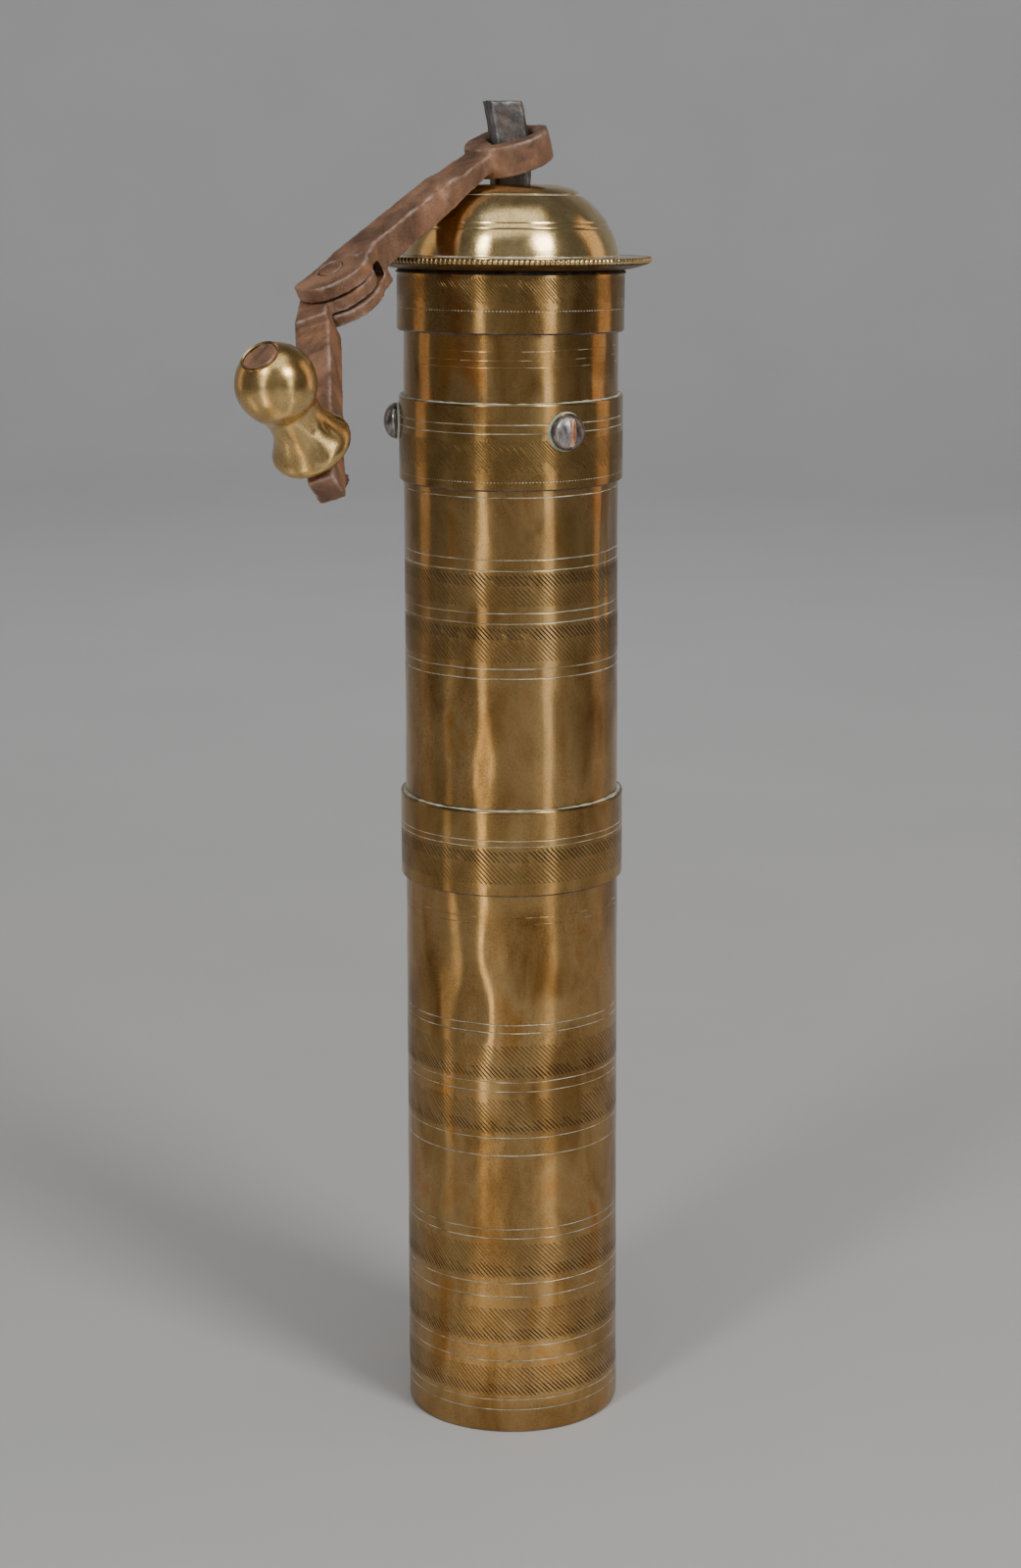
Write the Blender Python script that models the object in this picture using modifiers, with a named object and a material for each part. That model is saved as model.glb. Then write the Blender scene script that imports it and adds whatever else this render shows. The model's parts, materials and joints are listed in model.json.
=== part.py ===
"""A tall brass hand mill for pepper, with a folding iron crank.

Z is up and the origin is the middle of the face it stands on. The lower tube is a cup for the
ground pepper. It slides up into a band on the upper tube, which holds the corns and, in its lower
end, the burrs. The spindle runs from a ball on the adjusting screw up through a three-armed
bridge and the lid, and its square end carries the crank.
"""

import math

import bmesh
import bpy
from mathutils import Matrix, Vector

MM = 0.001

# Tubes: one gentle taper runs through both of them.
TUBE_RADIUS_AT_FOOT = 25.8 * MM
TUBE_RADIUS_AT_LID = 25.0 * MM
TAPER_HEIGHT = 270.0 * MM
TUBE_WALL = 1.0 * MM
CUP_HEIGHT = 142.6 * MM
FOOT_ROUND = 0.7 * MM
BASE_THICKNESS = 1.4 * MM
UPPER_TUBE_BOTTOM = 143.0 * MM
UPPER_TUBE_TOP = 275.2 * MM
GAP = 0.3 * MM
TUBE_SEGMENTS = 48
SMALL_SEGMENTS = 24

# Bands round the upper tube
MID_BAND_BOTTOM = 134.2 * MM
MID_BAND_TOP = 154.5 * MM
MID_BAND_INNER = 25.72 * MM
MID_BAND_OUTER = 26.45 * MM
SCREW_BAND_BOTTOM = 228.8 * MM
SCREW_BAND_TOP = 248.4 * MM
SCREW_BAND_INNER = 25.43 * MM
SCREW_BAND_OUTER = 26.1 * MM

# Lid
SKIRT_BOTTOM = 263.1 * MM
SKIRT_TOP = 276.9 * MM
SKIRT_INNER = 25.6 * MM
SKIRT_OUTER = 26.35 * MM
FLANGE_UNDERSIDE = 277.2 * MM
FLANGE_RADIUS = 32.6 * MM
FLANGE_RIM_TOP = 280.1 * MM
FLANGE_RIM_THICKNESS = 1.0 * MM
DOME_FOOT_RADIUS = 24.8 * MM
DOME_FOOT_HEIGHT = 280.4 * MM
DOME_SHOULDER_RADIUS = 16.0 * MM
DOME_SHOULDER_HEIGHT = 292.7 * MM
DOME_BULGE = 1.6 * MM
DOME_WALL = 1.6 * MM
CROWN_RADIUS = 14.8 * MM
CROWN_EDGE_RADIUS = 13.2 * MM
CROWN_HEIGHT = 296.3 * MM
CROWN_STEP = 0.5 * MM
CROWN_WALL = 3.4 * MM
CROWN_ROUND_WIDTH = 2.5 * MM
CROWN_ROUND_DEPTH = 0.6 * MM
FLANGE_STEP = 0.5 * MM
LID_HOLE_RADIUS = 7.2 * MM
LID_LEAN_BACK = math.radians(2.0)
LID_LEAN_RIGHT = math.radians(0.5)
LID_LEAN_HEIGHT = 270.0 * MM

# Spindle
SQUARE = 8.4 * MM
SQUARE_CHAMFER = 0.8 * MM
SPINDLE_TURN = math.radians(11.0)
SPINDLE_TOP = 315.0 * MM
SPINDLE_BOTTOM = 148.4 * MM
JOURNAL_RADIUS = 4.2 * MM
BURR_SQUARE = 7.2 * MM
BURR_SQUARE_TOP = 168.0 * MM

# Bridge with three arms, at the top of the tube
SCREW_HEIGHT = 242.1 * MM
SCREW_AZIMUTHS = {"left": -91.5, "front": 28.5, "back": 148.5}
SCREW_HEAD_RADIUS = 4.2 * MM
SCREW_HEAD_HEIGHT = 3.3 * MM
SCREW_SLOT = 1.0 * MM
SCREW_SLOT_DEPTH = 1.4 * MM
SCREW_SHANK_RADIUS = 1.8 * MM
HUB_RADIUS = 8.5 * MM
HUB_BORE_RADIUS = 4.6 * MM
HUB_BOTTOM = 236.5 * MM
HUB_TOP = 246.0 * MM
ARM_WIDTH = 6.0 * MM
ARM_THICKNESS = 3.2 * MM
ARM_END_INSET = 2.5 * MM
ARM_DROP = 0.9 * MM
LUG_WIDTH = 8.0 * MM
LUG_HEIGHT = 9.0 * MM
LUG_THICKNESS = 3.0 * MM
LUG_FACE = 23.3 * MM

# Collar pinned to the spindle under the bridge
COLLAR_RADIUS = 8.5 * MM
COLLAR_BORE_RADIUS = 6.0 * MM
COLLAR_BOTTOM = 227.0 * MM
COLLAR_TOP = 234.0 * MM
COLLAR_PIN_HEIGHT = 230.5 * MM
COLLAR_PIN_REACH = 8.7 * MM
PIN_RADIUS = 1.1 * MM

# Burrs
INNER_BURR_BOTTOM = 144.6 * MM
INNER_BURR_GRIND_TOP = 152.5 * MM
INNER_BURR_TOP = 167.4 * MM
INNER_BURR_BOTTOM_RADIUS = 18.2 * MM
INNER_BURR_GRIND_RADIUS = 16.2 * MM
INNER_BURR_TOP_RADIUS = 8.6 * MM
INNER_BURR_TEETH = 18
BURR_PIN_HEIGHT = 163.4 * MM
BURR_PIN_REACH = 9.8 * MM
OUTER_BURR_BOTTOM = 143.4 * MM
OUTER_BURR_THROAT = 152.5 * MM
OUTER_BURR_TOP = 165.0 * MM
OUTER_BURR_RADIUS = 24.0 * MM
OUTER_BURR_BOTTOM_BORE = 19.2 * MM
OUTER_BURR_THROAT_BORE = 17.2 * MM
OUTER_BURR_TOP_BORE = 22.4 * MM
OUTER_BURR_TEETH = 24
TOOTH_DEPTH = 0.9 * MM

# Bottom bridge, adjusting screw and the ball that the spindle turns on
BAR_LENGTH = 46.8 * MM
BAR_WIDTH = 9.0 * MM
BAR_BOTTOM = 138.6 * MM
BAR_TOP = 143.1 * MM
BOSS_RADIUS = 7.0 * MM
BOSS_BOTTOM = 134.0 * MM
BAR_SCREW_OFFSET = 22.2 * MM
BAR_SCREW_RADIUS = 0.9 * MM
BAR_SCREW_TOP = 149.0 * MM
BAR_SCREW_HEAD_RADIUS = 2.2 * MM
BAR_SCREW_HEAD_HEIGHT = 1.8 * MM
ADJUSTER_RADIUS = 3.0 * MM
ADJUSTER_HEAD_RADIUS = 8.5 * MM
ADJUSTER_NECK_RADIUS = 5.1 * MM
ADJUSTER_NECK_HEIGHT = 1.0 * MM
ADJUSTER_TEETH = 18
ADJUSTER_BOTTOM = 118.5 * MM
ADJUSTER_HEAD_TOP = 122.5 * MM
ADJUSTER_TOP = 143.0 * MM
BALL_RADIUS = 2.4 * MM
BALL_HEIGHT = 145.7 * MM

# Crank: S runs outward along the inner arm, and the arm stands in the plane of S and Z.
CRANK_AZIMUTH = math.radians(180.0 + 42.65)
EYE_TILT = math.radians(17.0)
EYE_RADIUS = 10.0 * MM
EYE_THICKNESS = 7.4 * MM
EYE_CENTRE_S = 0.5 * MM
EYE_CENTRE_Z = 303.6 * MM
EYE_HOLE_LONG = 7.3 * MM
EYE_HOLE_SHIFT = -0.5 * MM
EYE_HOLE_WIDE = 6.2 * MM
BAR_HALF_WIDTH = 4.6 * MM
HINGE_S = 51.0 * MM
HINGE_Z = 274.9 * MM
HINGE_TILT = math.radians(30.0)
LEAF_RADIUS = 9.0 * MM
LOBE_ARC = (-8.0, 140.0)
FORK_REACH = 11.0 * MM
BEAK_REACH = 7.9 * MM
TOP_LEAF_THICKNESS = 3.6 * MM
LOW_LEAF_THICKNESS = 2.8 * MM
TONGUE_RADIUS = 8.5 * MM
TONGUE_THICKNESS = 3.2 * MM
HINGE_PIN_RADIUS = 2.6 * MM
PIN_PROUD = 0.4 * MM
FOLD_AT_REST = math.radians(40.5)
OUTER_ARM_DROOP = math.radians(18.5)
OUTER_ARM_LENGTH = 58.0 * MM
OUTER_ARM_OFFSET = -5.8 * MM
OUTER_ARM_HALF_WIDTH = 4.3 * MM
OUTER_ARM_END_HALF_WIDTH = 3.1 * MM
OUTER_ARM_THICKNESS = 7.2 * MM
OUTER_ARM_SHOULDER = 9.0 * MM
NECK_OVERLAP = 4.0 * MM
NECK_STEP = 1.0 * MM

# Knob, along its own axis from the arm
KNOB_ALONG_ARM = 51.2 * MM
KNOB_LEAN = math.radians(-7.0)
KNOB_LIFT = 0.9 * MM
KNOB_LENGTH = 28.8 * MM
KNOB_TIP_HEIGHT = 28.3 * MM
KNOB_BORE_RADIUS = 2.9 * MM
KNOB_LIP_RADIUS = 8.9 * MM
KNOB_LIP_HEIGHT = 2.6 * MM
KNOB_WAIST_RADIUS = 7.0 * MM
KNOB_WAIST_HEIGHT = 6.2 * MM
KNOB_NECK_RADIUS = 5.4 * MM
KNOB_NECK_HEIGHT = 11.0 * MM
KNOB_EASE = 0.6 * MM
KNOB_BALL_ARC = (62.0, -44.0)
KNOB_BALL_RADIUS = 8.7 * MM
KNOB_BALL_HEIGHT = 20.2 * MM
RIVET_RADIUS = 2.5 * MM
RIVET_HEAD_RADIUS = 3.9 * MM
RIVET_HEAD_THICKNESS = 2.0 * MM
RIVET_FOOT_THICKNESS = 1.4 * MM

# Looks of the metals: colour, roughness and metallic value. Each piece makes its own material.
BRASS = {
    "tube": ((0.46, 0.30, 0.11), 0.28, 1.0),
    "base": ((0.44, 0.29, 0.11), 0.35, 1.0),
    "band": ((0.48, 0.31, 0.11), 0.28, 1.0),
    "lid": ((0.62, 0.47, 0.22), 0.30, 1.0),
    "knob": ((0.66, 0.47, 0.17), 0.36, 1.0),
    "adjuster": ((0.52, 0.36, 0.14), 0.35, 1.0),
}
IRON = {
    "crank": ((0.14, 0.085, 0.065), 0.65, 0.6),
    "spindle": ((0.22, 0.20, 0.19), 0.50, 0.8),
    "forged": ((0.13, 0.12, 0.12), 0.55, 0.8),
    "burr": ((0.17, 0.16, 0.15), 0.50, 0.8),
    "pin": ((0.20, 0.18, 0.17), 0.50, 0.8),
    "screw": ((0.36, 0.35, 0.35), 0.30, 1.0),
}


def clear_scene():
    for old in list(bpy.data.objects):
        bpy.data.objects.remove(old, do_unlink=True)


def make_collections():
    parts = bpy.data.collections.new("pepper_mill")
    cutters = bpy.data.collections.new("cutters")
    for collection in (parts, cutters):
        bpy.context.scene.collection.children.link(collection)
    return parts, cutters


def make_material(name, colour, roughness, metallic):
    material = bpy.data.materials.new(name)
    material.use_nodes = True
    shader = material.node_tree.nodes["Principled BSDF"]
    shader.inputs["Base Color"].default_value = (*colour, 1.0)
    shader.inputs["Roughness"].default_value = roughness
    shader.inputs["Metallic"].default_value = metallic
    return material


def add_object(name, mesh, look=None):
    """Puts a mesh in the scene: as a part if it has a look, and as a cutter if not."""
    obj = bpy.data.objects.new(name, mesh)
    if look is None:
        CUTTERS.objects.link(obj)
        obj.hide_render = True
        obj.display_type = "WIRE"
        return obj
    PARTS.objects.link(obj)
    mesh.materials.append(make_material(name, *look))
    return obj


def smooth(obj, degrees=35.0):
    obj.data.shade_smooth()
    obj.data.set_sharp_from_angle(angle=math.radians(degrees))
    return obj


def tube_radius(z):
    return TUBE_RADIUS_AT_FOOT + (TUBE_RADIUS_AT_LID - TUBE_RADIUS_AT_FOOT) * z / TAPER_HEIGHT


def turned(name, profile, look=None, closed=True, segments=SMALL_SEGMENTS):
    """A turned piece. The profile of (radius, height) runs down its outer side, and then up its
    inner side if it is closed; an open one starts and ends on the axis."""
    mesh = bpy.data.meshes.new(name)
    points = [(radius, 0.0, height) for radius, height in profile]
    edges = [(i, i + 1) for i in range(len(points) - 1)]
    if closed:
        edges.append((len(points) - 1, 0))
    mesh.from_pydata(points, edges, [])
    obj = add_object(name, mesh, look)
    screw = obj.modifiers.new("Turn", "SCREW")
    screw.steps = segments
    screw.render_steps = segments
    screw.use_merge_vertices = True
    screw.merge_threshold = 0.00001
    return bake(obj)


def bake(obj):
    """Replaces an object's mesh with what its modifiers make of it."""
    bpy.context.view_layer.update()
    graph = bpy.context.evaluated_depsgraph_get()
    mesh = bpy.data.meshes.new_from_object(obj.evaluated_get(graph))
    obj.modifiers.clear()
    obj.data = mesh
    return smooth(obj)


def block(name, size, centre, look=None):
    """A box with its middle at centre."""
    grown = bmesh.new()
    scale = Matrix.Diagonal((*size, 1.0))
    bmesh.ops.create_cube(grown, size=1.0, matrix=Matrix.Translation(centre) @ scale)
    mesh = bpy.data.meshes.new(name)
    grown.to_mesh(mesh)
    grown.free()
    return add_object(name, mesh, look)


def rod(name, radius, bottom, top, look=None, segments=SMALL_SEGMENTS):
    """A cylinder along Z, between two heights."""
    grown = bmesh.new()
    bmesh.ops.create_cone(
        grown,
        cap_ends=True,
        segments=segments,
        radius1=radius,
        radius2=radius,
        depth=top - bottom,
        matrix=Matrix.Translation((0.0, 0.0, (bottom + top) / 2)),
    )
    mesh = bpy.data.meshes.new(name)
    grown.to_mesh(mesh)
    grown.free()
    return smooth(add_object(name, mesh, look))


def plate(name, outline, low, high, look=None):
    """A flat outline in X and Y, given a thickness from low to high along Z."""
    curve = bpy.data.curves.new(name, "CURVE")
    curve.dimensions = "2D"
    curve.fill_mode = "BOTH"
    curve.extrude = (high - low) / 2
    spline = curve.splines.new("POLY")
    spline.points.add(len(outline) - 1)
    for point, (x, y) in zip(spline.points, outline):
        point.co = (x, y, 0.0, 1.0)
    spline.use_cyclic_u = True
    outlined = bpy.data.objects.new(name + "_outline", curve)
    CUTTERS.objects.link(outlined)
    bpy.context.view_layer.update()
    graph = bpy.context.evaluated_depsgraph_get()
    mesh = bpy.data.meshes.new_from_object(outlined.evaluated_get(graph))
    bpy.data.objects.remove(outlined, do_unlink=True)
    welded = bmesh.new()
    welded.from_mesh(mesh)
    bmesh.ops.remove_doubles(welded, verts=welded.verts, dist=0.000001)
    bmesh.ops.translate(welded, verts=welded.verts, vec=(0.0, 0.0, (low + high) / 2))
    bmesh.ops.recalc_face_normals(welded, faces=welded.faces)
    welded.to_mesh(mesh)
    welded.free()
    mesh.materials.clear()
    mesh.name = name
    return add_object(name, mesh, look)


def combine(obj, other, operation):
    """Joins another object to this one or cuts it away, and leaves the other as a guide."""
    modifier = obj.modifiers.new(other.name, "BOOLEAN")
    modifier.operation = operation
    modifier.object = other
    modifier.solver = "EXACT"


def cut(obj, *others):
    for other in others:
        combine(obj, other, "DIFFERENCE")
    return bake(obj)


def join(obj, *others):
    for other in others:
        combine(obj, other, "UNION")
    return bake(obj)


def moved(obj, matrix):
    """Moves an object's mesh about its origin, to shape or cut a piece in that piece's own frame."""
    obj.data.transform(matrix)
    return obj


def set_down(obj, frame):
    """Places a finished piece, which was modelled in its own frame."""
    obj.matrix_world = frame
    return obj


def radial(azimuth_degrees, height):
    """The frame whose Z points out of the tube at an azimuth, counted from the front (-Y)
    towards +X, and whose Y points up."""
    azimuth = math.radians(azimuth_degrees)
    out = Vector((math.sin(azimuth), -math.cos(azimuth), 0.0))
    up = Vector((0.0, 0.0, 1.0))
    side = up.cross(out)
    return Matrix.Translation((0.0, 0.0, height)) @ Matrix((side, up, out)).transposed().to_4x4()


def arc(centre, radius, start, end, count):
    """Points on an arc, with its angles in degrees."""
    angles = [math.radians(start + (end - start) * i / (count - 1)) for i in range(count)]
    return [(centre[0] + radius * math.cos(a), centre[1] + radius * math.sin(a)) for a in angles]


def make_cup():
    foot = TUBE_RADIUS_AT_FOOT
    inner_foot = foot - TUBE_WALL
    inner_top = tube_radius(CUP_HEIGHT) - TUBE_WALL
    turned(
        "cup_tube",
        [
            (tube_radius(CUP_HEIGHT), CUP_HEIGHT),
            *arc((foot - FOOT_ROUND, FOOT_ROUND), FOOT_ROUND, 0, -90, 3),
            (inner_foot, 0.0),
            (inner_top, CUP_HEIGHT),
        ],
        BRASS["tube"],
        segments=TUBE_SEGMENTS,
    )
    rod("cup_base", inner_foot - GAP, 0.0, BASE_THICKNESS, BRASS["base"], TUBE_SEGMENTS)


def screw_hole_cutters(name, radius):
    cutters = []
    for place, azimuth in SCREW_AZIMUTHS.items():
        hole = rod(f"{name}_{place}", radius, LUG_FACE - 2 * LUG_THICKNESS, FLANGE_RADIUS)
        cutters.append(moved(hole, radial(azimuth, SCREW_HEIGHT)))
    return cutters


def make_ring(name, inner, outer, bottom, top, look):
    outline = [(outer, top), (outer, bottom), (inner, bottom), (inner, top)]
    return turned(name, outline, look, segments=TUBE_SEGMENTS)


def make_upper_tube():
    top = tube_radius(UPPER_TUBE_TOP)
    bottom = tube_radius(UPPER_TUBE_BOTTOM)
    outline = [
        (top, UPPER_TUBE_TOP),
        (bottom, UPPER_TUBE_BOTTOM),
        (bottom - TUBE_WALL, UPPER_TUBE_BOTTOM),
        (top - TUBE_WALL, UPPER_TUBE_TOP),
    ]
    tube = turned("upper_tube", outline, BRASS["tube"], segments=TUBE_SEGMENTS)
    cut(tube, *screw_hole_cutters("tube_hole", SCREW_SHANK_RADIUS + GAP))


def make_bands():
    make_ring(
        "mid_band", MID_BAND_INNER, MID_BAND_OUTER, MID_BAND_BOTTOM, MID_BAND_TOP, BRASS["band"]
    )
    band = make_ring(
        "screw_band",
        SCREW_BAND_INNER,
        SCREW_BAND_OUTER,
        SCREW_BAND_BOTTOM,
        SCREW_BAND_TOP,
        BRASS["band"],
    )
    cut(band, *screw_hole_cutters("band_hole", SCREW_SHANK_RADIUS + GAP))


def dome_side(offset):
    """The dome's side from its shoulder down to its foot, bulged like a bow, and moved in by an
    offset."""
    foot = Vector((DOME_FOOT_RADIUS, DOME_FOOT_HEIGHT))
    shoulder = Vector((DOME_SHOULDER_RADIUS, DOME_SHOULDER_HEIGHT))
    chord = foot - shoulder
    outward = Vector((-chord.y, chord.x)).normalized()
    steps = 6
    points = []
    for i in range(steps + 1):
        along = i / steps
        bulge = 4.0 * along * (1.0 - along) * DOME_BULGE
        points.append(tuple(shoulder + chord * along + outward * (bulge - offset)))
    return points


def lid_frame():
    """The lid is a loose fit on its tube, and sits a little askew."""
    pivot = Matrix.Translation((0.0, 0.0, LID_LEAN_HEIGHT))
    back = Matrix.Rotation(-LID_LEAN_BACK, 4, "X")
    right = Matrix.Rotation(LID_LEAN_RIGHT, 4, "Y")
    return pivot @ back @ right


def make_lid():
    outer = dome_side(0.0)
    inner = dome_side(DOME_WALL)
    crown_foot = DOME_SHOULDER_HEIGHT + CROWN_STEP
    outline = [
        (LID_HOLE_RADIUS, CROWN_HEIGHT),
        (CROWN_EDGE_RADIUS - CROWN_ROUND_WIDTH, CROWN_HEIGHT),
        (CROWN_EDGE_RADIUS, CROWN_HEIGHT - CROWN_ROUND_DEPTH),
        (CROWN_RADIUS, crown_foot),
        *outer,
        (FLANGE_RADIUS, FLANGE_RIM_TOP),
        (FLANGE_RADIUS, FLANGE_RIM_TOP - FLANGE_RIM_THICKNESS),
        (SKIRT_OUTER + FLANGE_STEP, FLANGE_UNDERSIDE),
        (inner[-1][0], FLANGE_UNDERSIDE),
        *reversed(inner),
        (CROWN_RADIUS - DOME_WALL, CROWN_HEIGHT - CROWN_WALL),
        (LID_HOLE_RADIUS, CROWN_HEIGHT - CROWN_WALL),
    ]
    dome = turned("lid_dome", outline, BRASS["lid"], segments=TUBE_SEGMENTS)
    skirt = make_ring(
        "lid_skirt", SKIRT_INNER, SKIRT_OUTER, SKIRT_BOTTOM, SKIRT_TOP, BRASS["band"]
    )
    for piece in (dome, skirt):
        moved(piece, Matrix.Translation((0.0, 0.0, -LID_LEAN_HEIGHT)))
        set_down(piece, lid_frame())


def make_top_spider():
    hub = rod("top_spider", HUB_RADIUS, HUB_BOTTOM, HUB_TOP, IRON["forged"])
    pieces = []
    for place, azimuth in SCREW_AZIMUTHS.items():
        frame = radial(azimuth, SCREW_HEIGHT)
        reach = LUG_FACE - 2 * ARM_END_INSET
        middle = ARM_END_INSET + reach / 2
        arm = block(f"spider_arm_{place}", (ARM_WIDTH, ARM_THICKNESS, reach), (0, 0, middle))
        lug_middle = LUG_FACE - LUG_THICKNESS / 2
        lug = block(f"spider_lug_{place}", (LUG_WIDTH, LUG_HEIGHT, LUG_THICKNESS), (0, 0, lug_middle))
        moved(arm, frame @ Matrix.Translation((0.0, -ARM_DROP, 0.0)))
        moved(lug, frame)
        pieces += [arm, lug]
    join(hub, *pieces)
    bore = rod("hub_bore", HUB_BORE_RADIUS, HUB_BOTTOM - MM, HUB_TOP + MM)
    cut(hub, bore, *screw_hole_cutters("lug_hole", SCREW_SHANK_RADIUS + GAP))


def make_spider_screws():
    under_head = SCREW_BAND_OUTER + GAP
    top = under_head + SCREW_HEAD_HEIGHT
    radius = SCREW_HEAD_RADIUS
    for place, azimuth in SCREW_AZIMUTHS.items():
        head = [(radius * across, SCREW_HEAD_HEIGHT * up) for across, up in arc((0, 0), 1, 90, 0, 5)]
        profile = [
            *[(across, under_head + up) for across, up in head],
            (SCREW_SHANK_RADIUS, under_head),
            (SCREW_SHANK_RADIUS, LUG_FACE - 1.5 * LUG_THICKNESS),
            (0.0, LUG_FACE - 1.5 * LUG_THICKNESS),
        ]
        screw = turned(f"spider_screw_{place}", profile, IRON["screw"], closed=False)
        slot_size = (SCREW_SLOT, 3 * radius, 2 * SCREW_SLOT_DEPTH)
        slot = block(f"screw_slot_{place}", slot_size, (0.0, 0.0, top))
        cut(screw, slot)
        set_down(screw, radial(azimuth, SCREW_HEIGHT))


def square_bar(name, side, chamfer, bottom, top):
    """A square bar along Z with its long edges chamfered."""
    half = side / 2
    outline = []
    for quarter in range(4):
        turn = Matrix.Rotation(math.radians(90 * quarter), 2)
        for corner in ((half, half - chamfer), (half - chamfer, half)):
            outline.append(tuple(turn @ Vector(corner)))
    return plate(name, outline, bottom, top)


def make_spindle():
    spindle = rod("spindle", JOURNAL_RADIUS, COLLAR_TOP, HUB_TOP + MM, IRON["spindle"])
    top = square_bar("spindle_top", SQUARE, SQUARE_CHAMFER, HUB_TOP + 0.5 * MM, SPINDLE_TOP)
    shaft = square_bar(
        "spindle_shaft", SQUARE, SQUARE_CHAMFER, BURR_SQUARE_TOP, HUB_BOTTOM - MM
    )
    seat = square_bar(
        "spindle_seat", BURR_SQUARE, SQUARE_CHAMFER, SPINDLE_BOTTOM, BURR_SQUARE_TOP + MM
    )
    join(spindle, top, shaft, seat)
    for name, height in (("collar_pin", COLLAR_PIN_HEIGHT), ("burr_pin", BURR_PIN_HEIGHT)):
        cut(spindle, cross_rod(f"{name}_hole", PIN_RADIUS + GAP, 2 * SQUARE, height))
    set_down(spindle, spindle_frame())


def spindle_frame():
    """The spindle's axis, turned to where its square sits at rest."""
    return Matrix.Rotation(SPINDLE_TURN, 4, "Z")


def cross_rod(name, radius, reach, height, look=None):
    """A rod across the axis, along X, reaching as far to both sides."""
    pin = rod(name, radius, -reach, reach, look, segments=12)
    turn = Matrix.Rotation(math.radians(90), 4, "Y")
    return moved(pin, Matrix.Translation((0.0, 0.0, height)) @ turn)


def make_spindle_collar():
    collar = turned(
        "spindle_collar",
        [
            (COLLAR_RADIUS, COLLAR_TOP),
            (COLLAR_RADIUS, COLLAR_BOTTOM),
            (COLLAR_BORE_RADIUS, COLLAR_BOTTOM),
            (COLLAR_BORE_RADIUS, COLLAR_TOP),
        ],
        IRON["forged"],
    )
    cut(collar, cross_rod("collar_hole", PIN_RADIUS + GAP, 2 * COLLAR_RADIUS, COLLAR_PIN_HEIGHT))
    pin = cross_rod("collar_pin", PIN_RADIUS, COLLAR_PIN_REACH, COLLAR_PIN_HEIGHT, IRON["pin"])
    for piece in (collar, pin):
        set_down(piece, spindle_frame())


def toothed(obj, teeth, low, high, sign):
    """Cuts teeth into the flank rings of a cone by moving every second point of each ring in
    or out by the tooth depth."""
    step = math.pi / teeth
    for vertex in obj.data.vertices:
        radius = math.hypot(vertex.co.x, vertex.co.y)
        if not low < radius < high:
            continue
        index = round(math.atan2(vertex.co.y, vertex.co.x) / step)
        if index % 2:
            factor = (radius + sign * TOOTH_DEPTH) / radius
            vertex.co.x *= factor
            vertex.co.y *= factor
    return obj


def make_inner_burr():
    burr = turned(
        "inner_burr",
        [
            (0.0, INNER_BURR_TOP),
            (INNER_BURR_TOP_RADIUS, INNER_BURR_TOP),
            (INNER_BURR_GRIND_RADIUS, INNER_BURR_GRIND_TOP),
            (INNER_BURR_BOTTOM_RADIUS, INNER_BURR_BOTTOM),
            (0.0, INNER_BURR_BOTTOM),
        ],
        IRON["burr"],
        closed=False,
        segments=2 * INNER_BURR_TEETH,
    )
    toothed(burr, INNER_BURR_TEETH, INNER_BURR_TOP_RADIUS / 2, INNER_BURR_BOTTOM_RADIUS * 2, -1)
    hole = square_bar(
        "burr_square_hole",
        BURR_SQUARE + 2 * GAP,
        SQUARE_CHAMFER,
        INNER_BURR_BOTTOM - MM,
        INNER_BURR_TOP + MM,
    )
    bore = cross_rod("burr_pin_bore", PIN_RADIUS + GAP, INNER_BURR_BOTTOM_RADIUS, BURR_PIN_HEIGHT)
    cut(burr, hole, bore)
    pin = cross_rod("burr_pin", PIN_RADIUS, BURR_PIN_REACH, BURR_PIN_HEIGHT, IRON["pin"])
    for piece in (burr, pin):
        set_down(piece, spindle_frame())


def bar_screw_places():
    return {"left": -BAR_SCREW_OFFSET, "right": BAR_SCREW_OFFSET}


def bar_screw_cutters(name, bottom, top):
    cutters = []
    for place, x in bar_screw_places().items():
        hole = rod(f"{name}_{place}", BAR_SCREW_RADIUS + GAP, bottom, top, segments=12)
        cutters.append(moved(hole, Matrix.Translation((x, 0.0, 0.0))))
    return cutters


def make_outer_burr():
    burr = turned(
        "outer_burr",
        [
            (OUTER_BURR_RADIUS, OUTER_BURR_TOP),
            (OUTER_BURR_RADIUS, OUTER_BURR_BOTTOM),
            (OUTER_BURR_BOTTOM_BORE, OUTER_BURR_BOTTOM),
            (OUTER_BURR_THROAT_BORE, OUTER_BURR_THROAT),
            (OUTER_BURR_TOP_BORE, OUTER_BURR_TOP),
        ],
        IRON["burr"],
        segments=2 * OUTER_BURR_TEETH,
    )
    toothed(burr, OUTER_BURR_TEETH, OUTER_BURR_THROAT_BORE - MM, OUTER_BURR_TOP_BORE + 0.1 * MM, 1)
    cut(burr, *bar_screw_cutters("burr_screw_hole", OUTER_BURR_BOTTOM - MM, BAR_SCREW_TOP + GAP))


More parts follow.
